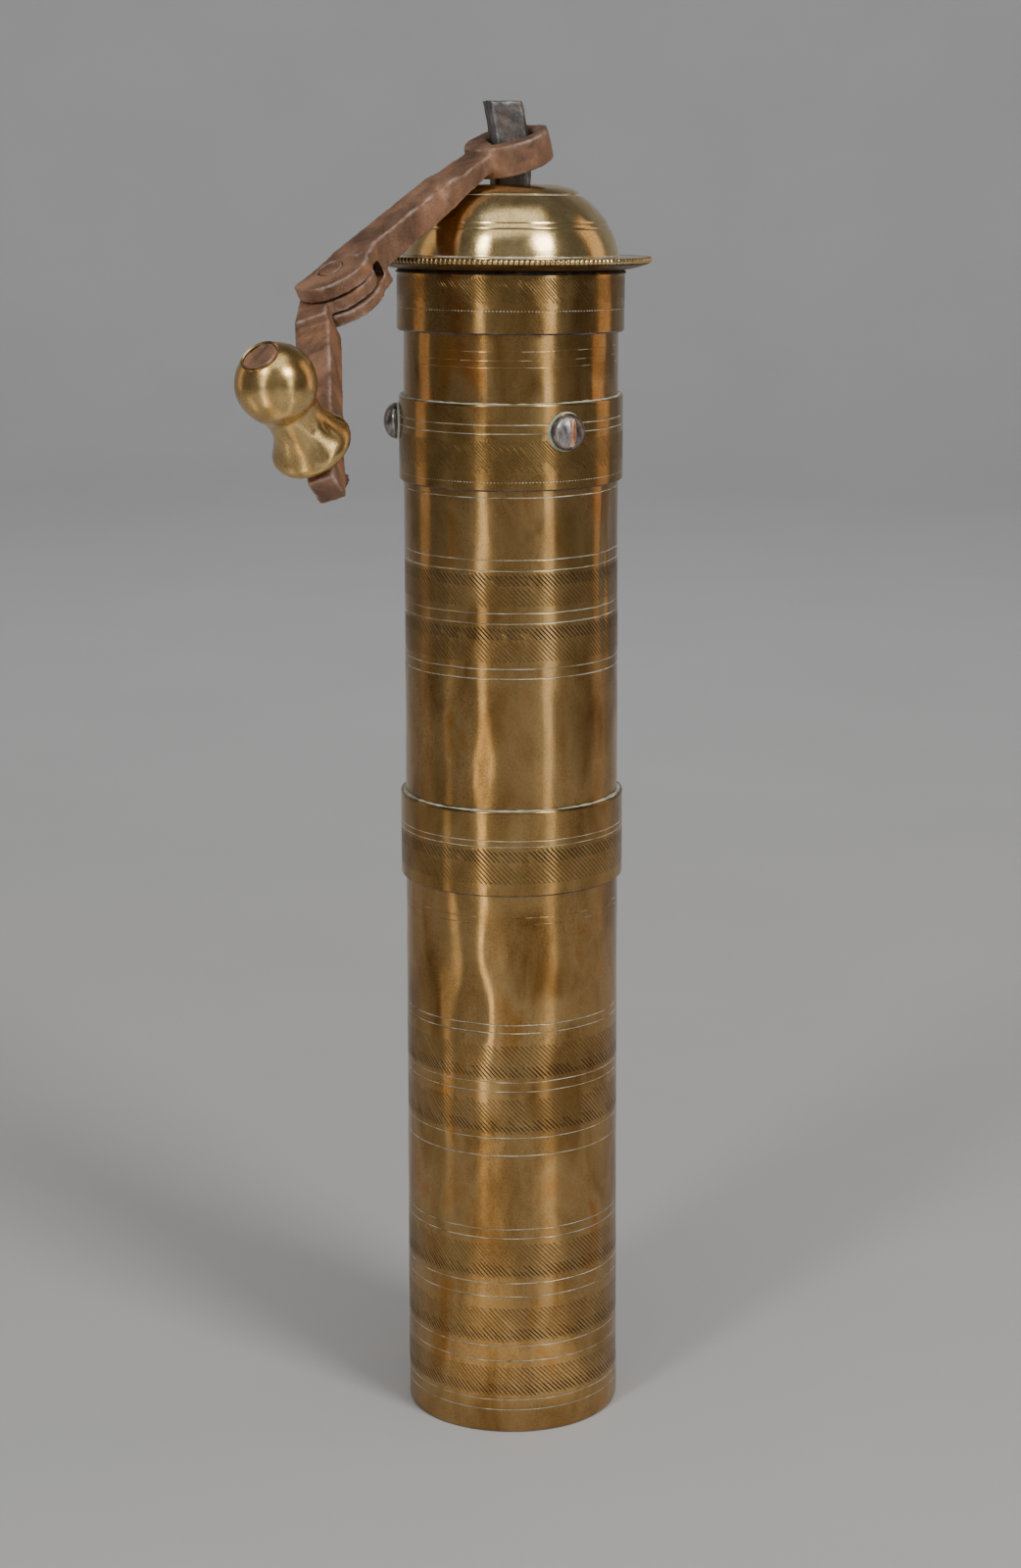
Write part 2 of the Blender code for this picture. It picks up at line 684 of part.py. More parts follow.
def make_bottom_bridge():
    middle = (0.0, 0.0, (BAR_BOTTOM + BAR_TOP) / 2)
    bar = block("bottom_bridge", (BAR_LENGTH, BAR_WIDTH, BAR_TOP - BAR_BOTTOM), middle, IRON["forged"])
    boss = rod("bridge_boss", BOSS_RADIUS, BOSS_BOTTOM, BAR_TOP)
    join(bar, boss)
    bore = rod("bridge_bore", ADJUSTER_RADIUS + GAP, BOSS_BOTTOM - MM, BAR_TOP + MM)
    cut(bar, bore, *bar_screw_cutters("bar_hole", BAR_BOTTOM - MM, BAR_TOP + MM))
    for place, x in bar_screw_places().items():
        head_top = BAR_BOTTOM - GAP
        profile = [
            (0.0, BAR_SCREW_TOP),
            (BAR_SCREW_RADIUS, BAR_SCREW_TOP),
            (BAR_SCREW_RADIUS, head_top),
            (BAR_SCREW_HEAD_RADIUS, head_top),
            (BAR_SCREW_HEAD_RADIUS, head_top - BAR_SCREW_HEAD_HEIGHT * 0.5),
            (BAR_SCREW_HEAD_RADIUS * 0.6, head_top - BAR_SCREW_HEAD_HEIGHT),
            (0.0, head_top - BAR_SCREW_HEAD_HEIGHT),
        ]
        screw = turned(f"bridge_screw_{place}", profile, IRON["screw"], closed=False, segments=16)
        set_down(screw, Matrix.Translation((x, 0.0, 0.0)))


def make_adjuster():
    screw = turned(
        "adjusting_screw",
        [
            (0.0, ADJUSTER_TOP),
            (ADJUSTER_RADIUS, ADJUSTER_TOP),
            (ADJUSTER_RADIUS, ADJUSTER_HEAD_TOP + ADJUSTER_NECK_HEIGHT),
            (ADJUSTER_NECK_RADIUS, ADJUSTER_HEAD_TOP),
            (ADJUSTER_HEAD_RADIUS, ADJUSTER_HEAD_TOP),
            (ADJUSTER_HEAD_RADIUS, ADJUSTER_BOTTOM),
            (0.0, ADJUSTER_BOTTOM),
        ],
        BRASS["adjuster"],
        closed=False,
        segments=2 * ADJUSTER_TEETH,
    )
    toothed(screw, ADJUSTER_TEETH, ADJUSTER_HEAD_RADIUS - MM, ADJUSTER_HEAD_RADIUS + MM, -0.6)
    ball = bmesh.new()
    bmesh.ops.create_uvsphere(ball, u_segments=16, v_segments=8, radius=BALL_RADIUS)
    mesh = bpy.data.meshes.new("thrust_ball")
    ball.to_mesh(mesh)
    ball.free()
    thrust_ball = smooth(add_object("thrust_ball", mesh, IRON["screw"]), 80.0)
    set_down(thrust_ball, Matrix.Translation((0.0, 0.0, BALL_HEIGHT)))


def crank_frame():
    """X runs outward along the inner arm, Y to its front side, and Z up."""
    return Matrix.Rotation(CRANK_AZIMUTH, 4, "Z")


def hinge_in_crank():
    return Matrix.Translation((HINGE_S, 0.0, HINGE_Z)) @ Matrix.Rotation(HINGE_TILT, 4, "Y")


def hinge_frame():
    """The fold hinge: Z is its axis, and X runs outward in line with the inner arm."""
    return crank_frame() @ hinge_in_crank()


def outer_arm_frame():
    """The outer arm: X runs along it and Z out of the side that carries the knob."""
    turn = Matrix.Rotation(FOLD_AT_REST, 4, "Z")
    return hinge_frame() @ turn


def side_plate(name, outline, half_width, look=None):
    """A bar seen from its side: the outline in S and Z, as thick as the bar is wide."""
    bar = plate(name, outline, -half_width, half_width, look)
    return moved(bar, Matrix.Rotation(math.radians(90), 4, "X"))


def inner_arm_outline():
    top = [(10.0, 303.5), (17.5, 299.7), (22.5, 297.9), (32.0, 292.4), (50.0, 282.3)]
    bottom = [(46.0, 275.4), (43.0, 278.0), (32.0, 284.4), (20.4, 291.9), (12.5, 297.4), (8.0, 299.4)]
    return [(s * MM, z * MM) for s, z in top + bottom]


def fork_outline():
    """The fork from above: straight at the back, with a beak past the hinge, and a round lobe at
    the front."""
    back = -BAR_HALF_WIDTH
    lobe = arc((0.0, 0.0), LEAF_RADIUS, *LOBE_ARC, 12)
    return [(-FORK_REACH, back), (BEAK_REACH, back), *lobe, (-FORK_REACH, BAR_HALF_WIDTH)]


def make_inner_arm():
    arm = side_plate("crank_inner_arm", inner_arm_outline(), BAR_HALF_WIDTH, IRON["crank"])
    eye_centre = Matrix.Translation((EYE_CENTRE_S, 0.0, EYE_CENTRE_Z))
    tilt = eye_centre @ Matrix.Rotation(EYE_TILT, 4, "Y")
    eye = rod("crank_eye", EYE_RADIUS, -EYE_THICKNESS / 2, EYE_THICKNESS / 2, segments=32)
    moved(eye, tilt)
    hinge = hinge_in_crank()
    slot_half = TONGUE_THICKNESS / 2 + GAP
    fork = plate(
        "crank_fork",
        fork_outline(),
        -slot_half - LOW_LEAF_THICKNESS,
        slot_half + TOP_LEAF_THICKNESS,
    )
    moved(fork, hinge)
    join(arm, eye, fork)
    hole = rod("eye_hole", EYE_HOLE_WIDE, -EYE_THICKNESS, EYE_THICKNESS)
    stretch = Matrix.Diagonal((EYE_HOLE_LONG / EYE_HOLE_WIDE, 1.0, 1.0, 1.0))
    moved(hole, tilt @ Matrix.Translation((EYE_HOLE_SHIFT, 0.0, 0.0)) @ stretch)
    slot = rod("fork_slot", LEAF_RADIUS + 4 * GAP, -slot_half, slot_half, segments=32)
    pin_hole = rod("fork_pin_hole", HINGE_PIN_RADIUS + GAP, -12 * MM, 12 * MM, segments=16)
    moved(slot, hinge)
    moved(pin_hole, hinge)
    cut(arm, hole, slot, pin_hole)
    set_down(arm, crank_frame())
    pin = rod(
        "crank_hinge_pin",
        HINGE_PIN_RADIUS,
        -slot_half - LOW_LEAF_THICKNESS - PIN_PROUD,
        slot_half + TOP_LEAF_THICKNESS,
        IRON["pin"],
        segments=16,
    )
    set_down(pin, hinge_frame())


def outer_arm_bar():
    """The outer arm seen along the knob's axis: it starts beside the tongue and tapers to its end."""
    wide = OUTER_ARM_HALF_WIDTH
    end = OUTER_ARM_END_HALF_WIDTH
    start = OUTER_ARM_SHOULDER
    outline = [(start, -wide), (OUTER_ARM_LENGTH, -end), (OUTER_ARM_LENGTH, end), (start, wide)]
    bar = plate("outer_bar", outline, -OUTER_ARM_THICKNESS / 2, OUTER_ARM_THICKNESS / 2)
    return moved(bar, bar_in_outer_arm())


def bar_in_outer_arm():
    """The bar droops from the hinge's plane and is set off to the side of the hinge."""
    droop = Matrix.Rotation(OUTER_ARM_DROOP, 4, "Y")
    return droop @ Matrix.Translation((0.0, OUTER_ARM_OFFSET, 0.0))


def knob_frame():
    seat = Matrix.Translation((KNOB_ALONG_ARM, 0.0, OUTER_ARM_THICKNESS / 2 + KNOB_LIFT))
    return outer_arm_frame() @ bar_in_outer_arm() @ seat @ Matrix.Rotation(KNOB_LEAN, 4, "Y")


def make_outer_arm():
    half = TONGUE_THICKNESS / 2
    arm = rod("crank_outer_arm", TONGUE_RADIUS, -half, half, IRON["crank"], segments=32)
    reach = OUTER_ARM_SHOULDER + NECK_OVERLAP
    neck_width = 2 * OUTER_ARM_HALF_WIDTH - NECK_STEP
    middle = (reach / 2, OUTER_ARM_OFFSET + NECK_STEP / 2, 0.0)
    neck = block("outer_arm_neck", (reach, neck_width, 2 * half), middle)
    bar = outer_arm_bar()
    clearance = rod("leaf_clearance", LEAF_RADIUS + 2 * GAP, -20 * MM, 20 * MM, segments=32)
    cut(bar, clearance)
    join(arm, neck, bar)
    pin_hole = rod("tongue_pin_hole", HINGE_PIN_RADIUS + GAP, -8 * MM, 8 * MM, segments=16)
    rivet_hole = rod("rivet_hole", RIVET_RADIUS + GAP, -20 * MM, 12 * MM, segments=16)
    moved(rivet_hole, outer_arm_frame().inverted() @ knob_frame())
    cut(arm, pin_hole, rivet_hole)
    set_down(arm, outer_arm_frame())


def knob_profile():
    """The knob's outer side from its tip to its foot: a ball, a waist and a bell with a lip."""
    ball = arc((0.0, KNOB_BALL_HEIGHT), KNOB_BALL_RADIUS, *KNOB_BALL_ARC, 7)
    sides = [
        (KNOB_NECK_RADIUS, KNOB_NECK_HEIGHT),
        (KNOB_NECK_RADIUS + KNOB_EASE / 3, KNOB_NECK_HEIGHT - 2.0 * MM),
        (KNOB_WAIST_RADIUS, KNOB_WAIST_HEIGHT),
        (KNOB_LIP_RADIUS - KNOB_EASE, 4.0 * MM),
        (KNOB_LIP_RADIUS, KNOB_LIP_HEIGHT),
        (KNOB_LIP_RADIUS - KNOB_EASE, 0.9 * MM),
        (KNOB_LIP_RADIUS - 2.0 * MM, GAP),
    ]
    return ball + sides


def make_knob():
    head_seat = KNOB_LENGTH - RIVET_HEAD_THICKNESS - GAP
    bore = [
        (KNOB_BORE_RADIUS, GAP),
        (KNOB_BORE_RADIUS, head_seat - GAP),
        (RIVET_HEAD_RADIUS + GAP, head_seat - GAP),
    ]
    tip = [(RIVET_HEAD_RADIUS + GAP, KNOB_TIP_HEIGHT)]
    knob = turned("knob", tip + knob_profile() + bore, BRASS["knob"], segments=32)
    set_down(knob, knob_frame())
    tipped = RIVET_HEAD_RADIUS * math.sin(abs(KNOB_LEAN))
    below = -OUTER_ARM_THICKNESS - KNOB_LIFT - tipped - GAP
    rivet = turned(
        "knob_rivet",
        [
            (0.0, KNOB_LENGTH),
            (RIVET_HEAD_RADIUS, KNOB_LENGTH - 0.6 * MM),
            (RIVET_HEAD_RADIUS, head_seat),
            (RIVET_RADIUS, head_seat),
            (RIVET_RADIUS, below),
            (RIVET_HEAD_RADIUS, below),
            (RIVET_HEAD_RADIUS * 0.7, below - RIVET_FOOT_THICKNESS),
            (0.0, below - RIVET_FOOT_THICKNESS),
        ],
        IRON["pin"],
        closed=False,
        segments=16,
    )
    set_down(rivet, knob_frame())


clear_scene()
PARTS, CUTTERS = make_collections()
make_cup()
make_upper_tube()
make_bands()
make_lid()
make_top_spider()
make_spider_screws()
make_spindle()
make_spindle_collar()
make_inner_burr()
make_outer_burr()
make_bottom_bridge()
make_adjuster()
make_inner_arm()
make_outer_arm()
make_knob()
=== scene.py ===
"""Looks of a tall brass hand mill for pepper: engraved tubes, a turned lid and a forged folding crank.

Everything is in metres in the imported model's frame, with Z up and the origin under the mill. An
azimuth is counted from the front (-Y) towards +X.
"""

import json
import math
import random
from collections import namedtuple

import bmesh
import bpy
import numpy as np
from mathutils import Matrix, Vector, noise


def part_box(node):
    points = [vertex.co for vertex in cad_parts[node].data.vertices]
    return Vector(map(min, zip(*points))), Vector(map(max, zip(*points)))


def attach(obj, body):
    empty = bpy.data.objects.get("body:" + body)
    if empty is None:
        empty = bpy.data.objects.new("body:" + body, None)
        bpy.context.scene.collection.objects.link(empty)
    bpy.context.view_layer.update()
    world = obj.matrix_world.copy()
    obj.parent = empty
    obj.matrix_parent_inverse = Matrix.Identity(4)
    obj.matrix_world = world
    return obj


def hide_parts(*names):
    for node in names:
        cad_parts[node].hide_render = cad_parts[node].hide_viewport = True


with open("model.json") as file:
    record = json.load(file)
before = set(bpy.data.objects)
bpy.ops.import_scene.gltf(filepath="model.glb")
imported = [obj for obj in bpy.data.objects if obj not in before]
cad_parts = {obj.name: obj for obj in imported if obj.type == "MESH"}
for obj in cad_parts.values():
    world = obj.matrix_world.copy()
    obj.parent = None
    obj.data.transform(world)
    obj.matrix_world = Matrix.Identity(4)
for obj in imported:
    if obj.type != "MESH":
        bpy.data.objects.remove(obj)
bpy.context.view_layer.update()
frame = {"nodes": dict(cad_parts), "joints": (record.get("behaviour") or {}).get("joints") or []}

MM = 0.001
NODES = frame["nodes"]
JOINTS = {joint["name"]: joint for joint in frame["joints"]}

# Tubes
TUBE_WALL = 1.0 * MM
BAND_WALL = 0.66 * MM
FOOT_ROUND = 0.7 * MM
ROW_SPACING = 1.6 * MM

# Engraved strokes. One is dark where it is cut deeper than STROKE_DARK of the full depth, and
# light down to STROKE_SHOWN of it.
STROKES = 144
FINE_STROKES = 204
STROKE_WIDTH = 0.40 * MM
STROKE_EDGE = 0.05 * MM
STROKE_DEPTH = 0.16 * MM
STROKE_SLOPE = math.radians(46.0)
STROKE_DARK = 0.60
STROKE_SHOWN = 0.13

# A stroke's columns of points from side to side, with its depth at each and whether the face after
# it is in the stroke
STROKE_ACROSS = (0.0, 0.0, 1.0, 0.0, 0.0)
STROKE_FACES = (False, True, True, False, False)
STROKE_COLUMNS = len(STROKE_ACROSS)

# A stroke from its deep end: share of its length, share of its depth
STROKE_PROFILE = (
    (0.0, 0.0), (0.06, 1.0), (0.18, 0.95), (0.34, 0.55), (0.56, 0.34), (0.8, 0.24), (1.0, 0.0)
)

# Engraved lines, whose rows are counted in half widths from the middle
LINE_WIDTH = 0.19 * MM
LINE_DEPTH = 0.13 * MM
LINE_ROWS = (-3, -1, 0, 1, 3)
FAINT_LINE_CUT = 0.25
FAINT_DASHES = 1.1

# Heights in mm of the lines, and the hatched bands: low, high, which end is cut deeper, depth
CUP_LINES = (5.9, 8.5, 18.5, 22.3, 34.9, 38.3, 49.7, 52.0, 70.5, 74.9, 86.4, 88.7, 100.8, 102.8)
CUP_FAINT_LINES = (127.3, 128.9)
CUP_HATCHES = (
    (9.6, 17.6, "low", 1.0),
    (23.4, 32.8, "low", 0.9),
    (39.6, 49.0, "low", 0.9),
    (76.0, 85.4, "low", 0.8),
    (89.4, 98.6, "low", 0.9),
)
TUBE_LINES = (185.6, 187.9, 198.4, 200.8, 210.6, 213.1, 227.3)
TUBE_FAINT_LINES = (256.6, 258.2, 260.2)
TUBE_HATCHES = ((188.6, 197.8, "high", 1.0), (201.5, 210.0, "high", 1.0))
MID_BAND_LINES = (146.2, 147.6)
MID_BAND_HATCHES = ((136.4, 145.6, "high", 1.0),)
SCREW_BAND_LINES = (241.9, 243.9)
SCREW_BAND_DOTTED_LINES = (230.9,)
SCREW_BAND_HATCHES = ((231.6, 240.2, "high", 0.50),)
SKIRT_DOTTED_LINES = (268.4,)
SKIRT_HATCHES = ((268.8, 275.6, "high", 0.52),)

# Unevenness of the beaten sheet: turns round the tube, pitch up it in mm, phase
RIPPLE = 0.22 * MM
WAVES = (
    (2, 31.0, 0.4),
    (3, -17.0, 1.9),
    (5, 43.0, 3.1),
    (7, -61.0, 0.7),
    (11, 24.0, 5.0),
    (13, 88.0, 2.2),
)

# Dents in the tubes: azimuth in degrees, then in mm the height, reach across, reach up, depth
DENT_RADIUS = 25.4
DENTS = (
    (-36.0, 112.0, 6.0, 13.0, 0.75),
    (-21.0, 105.0, 3.6, 9.0, 0.60),
    (-9.0, 120.0, 3.2, 8.0, 0.30),
    (-50.0, 124.0, 7.0, 10.0, 0.30),
    (-14.0, 165.0, 3.0, 11.0, 0.22),
    (-30.0, 176.0, 4.0, 9.0, 0.20),
    (72.0, 216.0, 5.0, 16.0, 0.60),
    (60.0, 204.0, 1.6, 15.0, 0.45),
    (30.0, 88.0, 6.0, 12.0, 0.25),
    (150.0, 60.0, 8.0, 16.0, 0.40),
    (-140.0, 190.0, 7.0, 14.0, 0.40),
)

# A band's undercut lower edge, its side above that, and its upper edge, in mm: distance, inset
BAND_UNDERCUT = ((0.0, 0.45), (0.16, 0.30), (0.34, 0.06))
BAND_FOOT = ((0.38, 0.0), (0.75, 0.0))
BAND_TOP = ((0.7, 0.0), (0.3, 0.0), (0.08, 0.06), (0.0, 0.16))

# Material slots of an engraved wall
WALL_LOOKS = ("residue", "stroke", "inside", "solder", "faint_stroke")
OUTSIDE, RESIDUE, STROKE, INSIDE, EDGE_SHADOW, FAINT_STROKE = range(6)

# Lid, which leans back and a little to the right on its tube
LID_LEAN_BACK = math.radians(2.0)
LID_LEAN_RIGHT = math.radians(0.5)
LID_LEAN_HEIGHT = 270.0 * MM
SKIRT_BOTTOM = 263.1 * MM
SKIRT_TOP = 276.9 * MM
SKIRT_OUTER = 26.35 * MM
SKIRT_WALL = 0.75 * MM
RIM_BEADS = 172
BEAD_COLUMNS = 3
BEAD_DEPTH = 0.50 * MM
FLANGE_UNDERSIDE = 277.2 * MM
FLANGE_RADIUS = 32.5 * MM
FLANGE_START = SKIRT_OUTER + 0.5 * MM
FLANGE_SAG = 0.25 * MM
RIM_TOP = 280.05 * MM
RIM_BOTTOM = RIM_TOP - 1.2 * MM
DOME_FOOT = (24.8 * MM, 280.4 * MM)
DOME_SHOULDER = (16.0 * MM, 293.8 * MM)
DOME_BULGE = 1.75 * MM
DOME_WALL = 1.6 * MM
DOME_GROOVES = (0.385, 0.475)
DOME_GROOVE_DEPTH = 0.12 * MM
DOME_GROOVE_SHARPNESS = 110
DOME_BELT_DEPTH = 0.06 * MM
CROWN_FOOT = DOME_SHOULDER[1] + 0.5 * MM
CROWN_RADIUS = 15.7 * MM
CROWN_EDGE = 12.6 * MM
CROWN_TOP = 296.2 * MM
LID_HOLE = 7.2 * MM
LID_LOOKS = ("lid", "residue", "underside")

# Spindle, whose square is turned a little from the front and leans at its top
SPINDLE_TURN = math.radians(11.0)
SPINDLE_TOP = 315.0 * MM
SPINDLE_BEND = 1.8 * MM
SPINDLE_BEND_START = 299.0 * MM
SPINDLE_LUMPS = 0.24 * MM

# Crank. Its nicks are in the inner arm's front edge: share of the way to the hinge, reach, depth.
CRANK_AZIMUTH = math.radians(222.65)
ARM_DROP = 0.56
EYE_SQUARE = 9.3 * MM
EYE_PLUG_RADIUS = 8.6 * MM
EYE_PLUG_HEIGHT = 6.9 * MM
EYE_OUT = 0.5 * MM
EYE_HEIGHT = 303.6 * MM
EYE_TILT = math.radians(17.0)
PIN_SPREAD = 1.09
ARM_NICKS = ((0.42, 2.2 * MM, 1.5 * MM), (0.56, 1.6 * MM, 0.5 * MM), (0.30, 2.0 * MM, 0.6 * MM))

# Knob, as (radius, height) in mm from its foot: its bell and waist, its ball, and its bore downwards
KNOB_BELL = (
    (7.0, 0.32), (7.9, 0.55), (8.45, 1.1), (8.78, 1.9), (8.9, 2.7), (8.72, 3.5), (8.25, 4.3),
    (7.65, 5.3), (7.10, 6.3), (6.66, 7.3), (6.34, 8.3), (6.13, 9.3), (6.03, 10.3), (6.02, 11.2),
    (6.08, 12.1), (6.22, 13.0), (6.42, 13.8),
)
KNOB_BALL_RADIUS = 8.7
KNOB_BALL_HEIGHT = 20.2
KNOB_BALL_ANGLES = (-40, 63)
KNOB_BORE = ((4.3, 28.15), (4.22, 27.6), (4.22, 26.0), (2.9, 26.0), (2.9, 0.32))
KNOB_COLUMNS = 128
KNOB_WEAR = 0.10 * MM

# Hollows in the knob: azimuth in radians, then in mm the height, reach across, reach up, depth
KNOB_GOUGES = (
    (0.5, 9.6, 1.1, 0.9, 0.34),
    (0.9, 7.2, 0.8, 1.5, 0.28),
    (-1.9, 16.0, 1.6, 0.6, 0.16),
    (2.6, 3.4, 2.0, 0.8, 0.18),
    (0.2, 4.6, 0.5, 1.3, 0.26),
)

# Screws, by the azimuths of their heads in degrees
SCREW_AZIMUTHS = {"left": -91.5, "front": 28.5, "back": 148.5}
SCREW_HEIGHT = 242.1 * MM
SCREW_HEAD_RADIUS = 4.2 * MM
SCREW_HEAD_HEIGHT = 3.3 * MM
SCREW_HEAD_EDGE = 0.35 * MM
SCREW_SHANK = 1.8 * MM
SCREW_SLOT_WIDTH = 1.35 * MM
SCREW_SLOT_DEPTH = 1.0 * MM
SCREW_SEAT = 26.4 * MM
SCREW_FOOT = 18.8 * MM
SCREW_COLUMNS = 72
BAND_CURVE = 26.1 * MM

# A solid outline keeps this much off the axis that it turns about
AXIS_GAP = 0.01 * MM
SOLDER_COLUMNS = 360

# Studio
CAMERA_PLACE = (-0.26 * MM, -731.9 * MM, 323.35 * MM)
CAMERA_PITCH = math.radians(90.0 - 12.934)
CAMERA_ROLL = math.radians(-0.12)
CAMERA_LENS = 72.11
WHITE = (1.0, 1.0, 1.0)
WARM = (1.0, 0.66, 0.40)
FLOOR_GLOW = (1.0, 0.88, 0.70)
FLOOR_LIGHT_HEIGHT = 1.0 * MM
WORLD_COLOUR = (0.60, 0.61, 0.63, 1.0)
WORLD_STRENGTH = 0.22
FLOOR_RADIUS = 1.7
FLOOR_RISE = 0.7
WALL_HEIGHT = 2.4
FLOOR_COLUMNS = 96

# A row of an engraved wall: how deep it is cut all round and at each stroke, and what it belongs to
Row = namedtuple("Row", "z radius ring stroke mark", defaults=(0.0, 0.0, ""))


def from_front(azimuth_degrees, distance, height):
    azimuth = math.radians(azimuth_degrees)
    return Vector((distance * math.sin(azimuth), -distance * math.cos(azimuth), height))


def radial(azimuth_degrees, height):
    """The frame whose Z points out of the tube at an azimuth, and whose Y points up."""
    out = from_front(azimuth_degrees, 1.0, 0.0)
    up = Vector((0.0, 0.0, 1.0))
    side = up.cross(out)
    return Matrix.Translation((0.0, 0.0, height)) @ Matrix((side, up, out)).transposed().to_4x4()


def lid_frame():
    """The lid's lean on its tube."""
    pivot = Matrix.Translation((0.0, 0.0, LID_LEAN_HEIGHT))
    back = Matrix.Rotation(-LID_LEAN_BACK, 4, "X")
    right = Matrix.Rotation(LID_LEAN_RIGHT, 4, "Y")
    return pivot @ back @ right @ pivot.inverted()


def joint_frame(name):
    """A joint's point, with Z along its axis and X on the side that faces the front."""
    joint = JOINTS[name]
    along = Vector(joint["axis"]).normalized()
    front = Vector((0.0, -1.0, 0.0))
    side = (front - along * front.dot(along)).normalized()
    turn = Matrix((side, along.cross(side), along)).transposed().to_4x4()
    return Matrix.Translation(joint["pos_m"]) @ turn


# Materials


def link(tree, source, target):
    tree.links.new(source, target)


def add_node(tree, kind, values, links, **settings):
    """A shader node with its settings, values on some of its sockets and links into others."""
    node = tree.nodes.new("ShaderNode" + kind)
    for setting, value in settings.items():
        setattr(node, setting, value)
    for socket, value in values.items():
        node.inputs[socket].default_value = value
    for socket, source in links.items():
        link(tree, source, node.inputs[socket])
    return node


def noise_node(tree, size, stretch=(1.0, 1.0, 1.0), detail=4.0, distortion=0.0, shift=0.0):
    """Noise whose patches are about `size` metres, stretched along an axis by its share."""
    place = add_node(tree, "TexCoord", {}, {}).outputs["Object"]
    scale = [1.0 / share for share in stretch]
    values = {"Location": (shift, shift * 0.7, shift * 0.3), "Scale": scale}
    mapped = add_node(tree, "Mapping", values, {"Vector": place}).outputs["Vector"]
    values = {"Scale": 1.0 / size, "Detail": detail, "Distortion": distortion}
    return add_node(tree, "TexNoise", values, {"Vector": mapped}).outputs["Fac"]


def ramp_node(tree, value, stops):
    ramp = add_node(tree, "ValToRGB", {}, {"Fac": value})
    elements = ramp.color_ramp.elements
    while len(elements) < len(stops):
        elements.new(0.5)
    for element, (position, colour) in zip(elements, stops):
        element.position = position
        element.color = (*colour, 1.0)
    return ramp.outputs["Color"]


def range_node(tree, value, low, high, start=0.3, end=0.7):
    values = {"From Min": start, "From Max": end, "To Min": low, "To Max": high}
    return add_node(tree, "MapRange", values, {"Value": value}).outputs["Result"]


def mix_node(tree, factor, first, second, blend="MIX"):
    """Mixes two colours, through the sockets that a Mix node has for colours."""
    links = {0: factor, 6: first, 7: second}
    return add_node(tree, "Mix", {}, links, data_type="RGBA", blend_type=blend).outputs[2]


def product_node(tree, first, second):
    links = {0: first, 1: second}
    return add_node(tree, "Math", {}, links, operation="MULTIPLY").outputs[0]


def bump_node(tree, height, strength, distance, below=None):
    links = {"Height": height} if below is None else {"Height": height, "Normal": below}
    values = {"Strength": strength, "Distance": distance}
    return add_node(tree, "Bump", values, links).outputs["Normal"]


def metal(
    name, tones, roughness, patch=9 * MM, grain=(1.0, 1.0, 1.0), scratch=0.25, metallic=1.0, lathe=0.0
):
    """A worn metal: patches of its tones, a drifting polish, and fine scratches along its grain.
    Lathe is how much its turning round Z draws out what it reflects."""
    material = bpy.data.materials.new(name)
    material.use_nodes = True
    tree = material.node_tree
    shader = tree.nodes["Principled BSDF"]
    shader.inputs["Metallic"].default_value = metallic
    if lathe:
        shader.inputs["Anisotropic"].default_value = lathe
        shader.inputs["Anisotropic Rotation"].default_value = 0.25
        around = add_node(tree, "Tangent", {}, {}, direction_type="RADIAL", axis="Z")
        link(tree, around.outputs["Tangent"], shader.inputs["Tangent"])
    patches = noise_node(tree, patch, (1.0, 1.0, 2.2), 6.0, 0.6)
    stops = [(0.30 + 0.40 * i / (len(tones) - 1), tone) for i, tone in enumerate(tones)]
    colour = ramp_node(tree, patches, stops)
    specks = noise_node(tree, 0.45 * MM, detail=3.0, shift=0.3)
    speck_tone = ramp_node(tree, specks, [(0.38, (0.66, 0.60, 0.54)), (0.56, (1.0, 1.0, 1.0))])
    factor = range_node(tree, noise_node(tree, 14 * MM, shift=0.6), 0.15, 0.85)
    link(tree, mix_node(tree, factor, colour, speck_tone, "MULTIPLY"), shader.inputs["Base Color"])
    polish = noise_node(tree, 5 * MM, (1.0, 1.0, 1.6), 5.0, 0.4, shift=0.9)
    link(tree, range_node(tree, polish, *roughness), shader.inputs["Roughness"])
    scratches = noise_node(tree, 0.35 * MM, grain, 3.0, shift=1.3)
    swell = noise_node(tree, 2.6 * MM, (1.0, 1.0, 1.5), 3.0, shift=1.7)
    fine = bump_node(tree, scratches, scratch, 0.05 * MM)
    link(tree, bump_node(tree, swell, scratch, 0.12 * MM, fine), shader.inputs["Normal"])
    return material


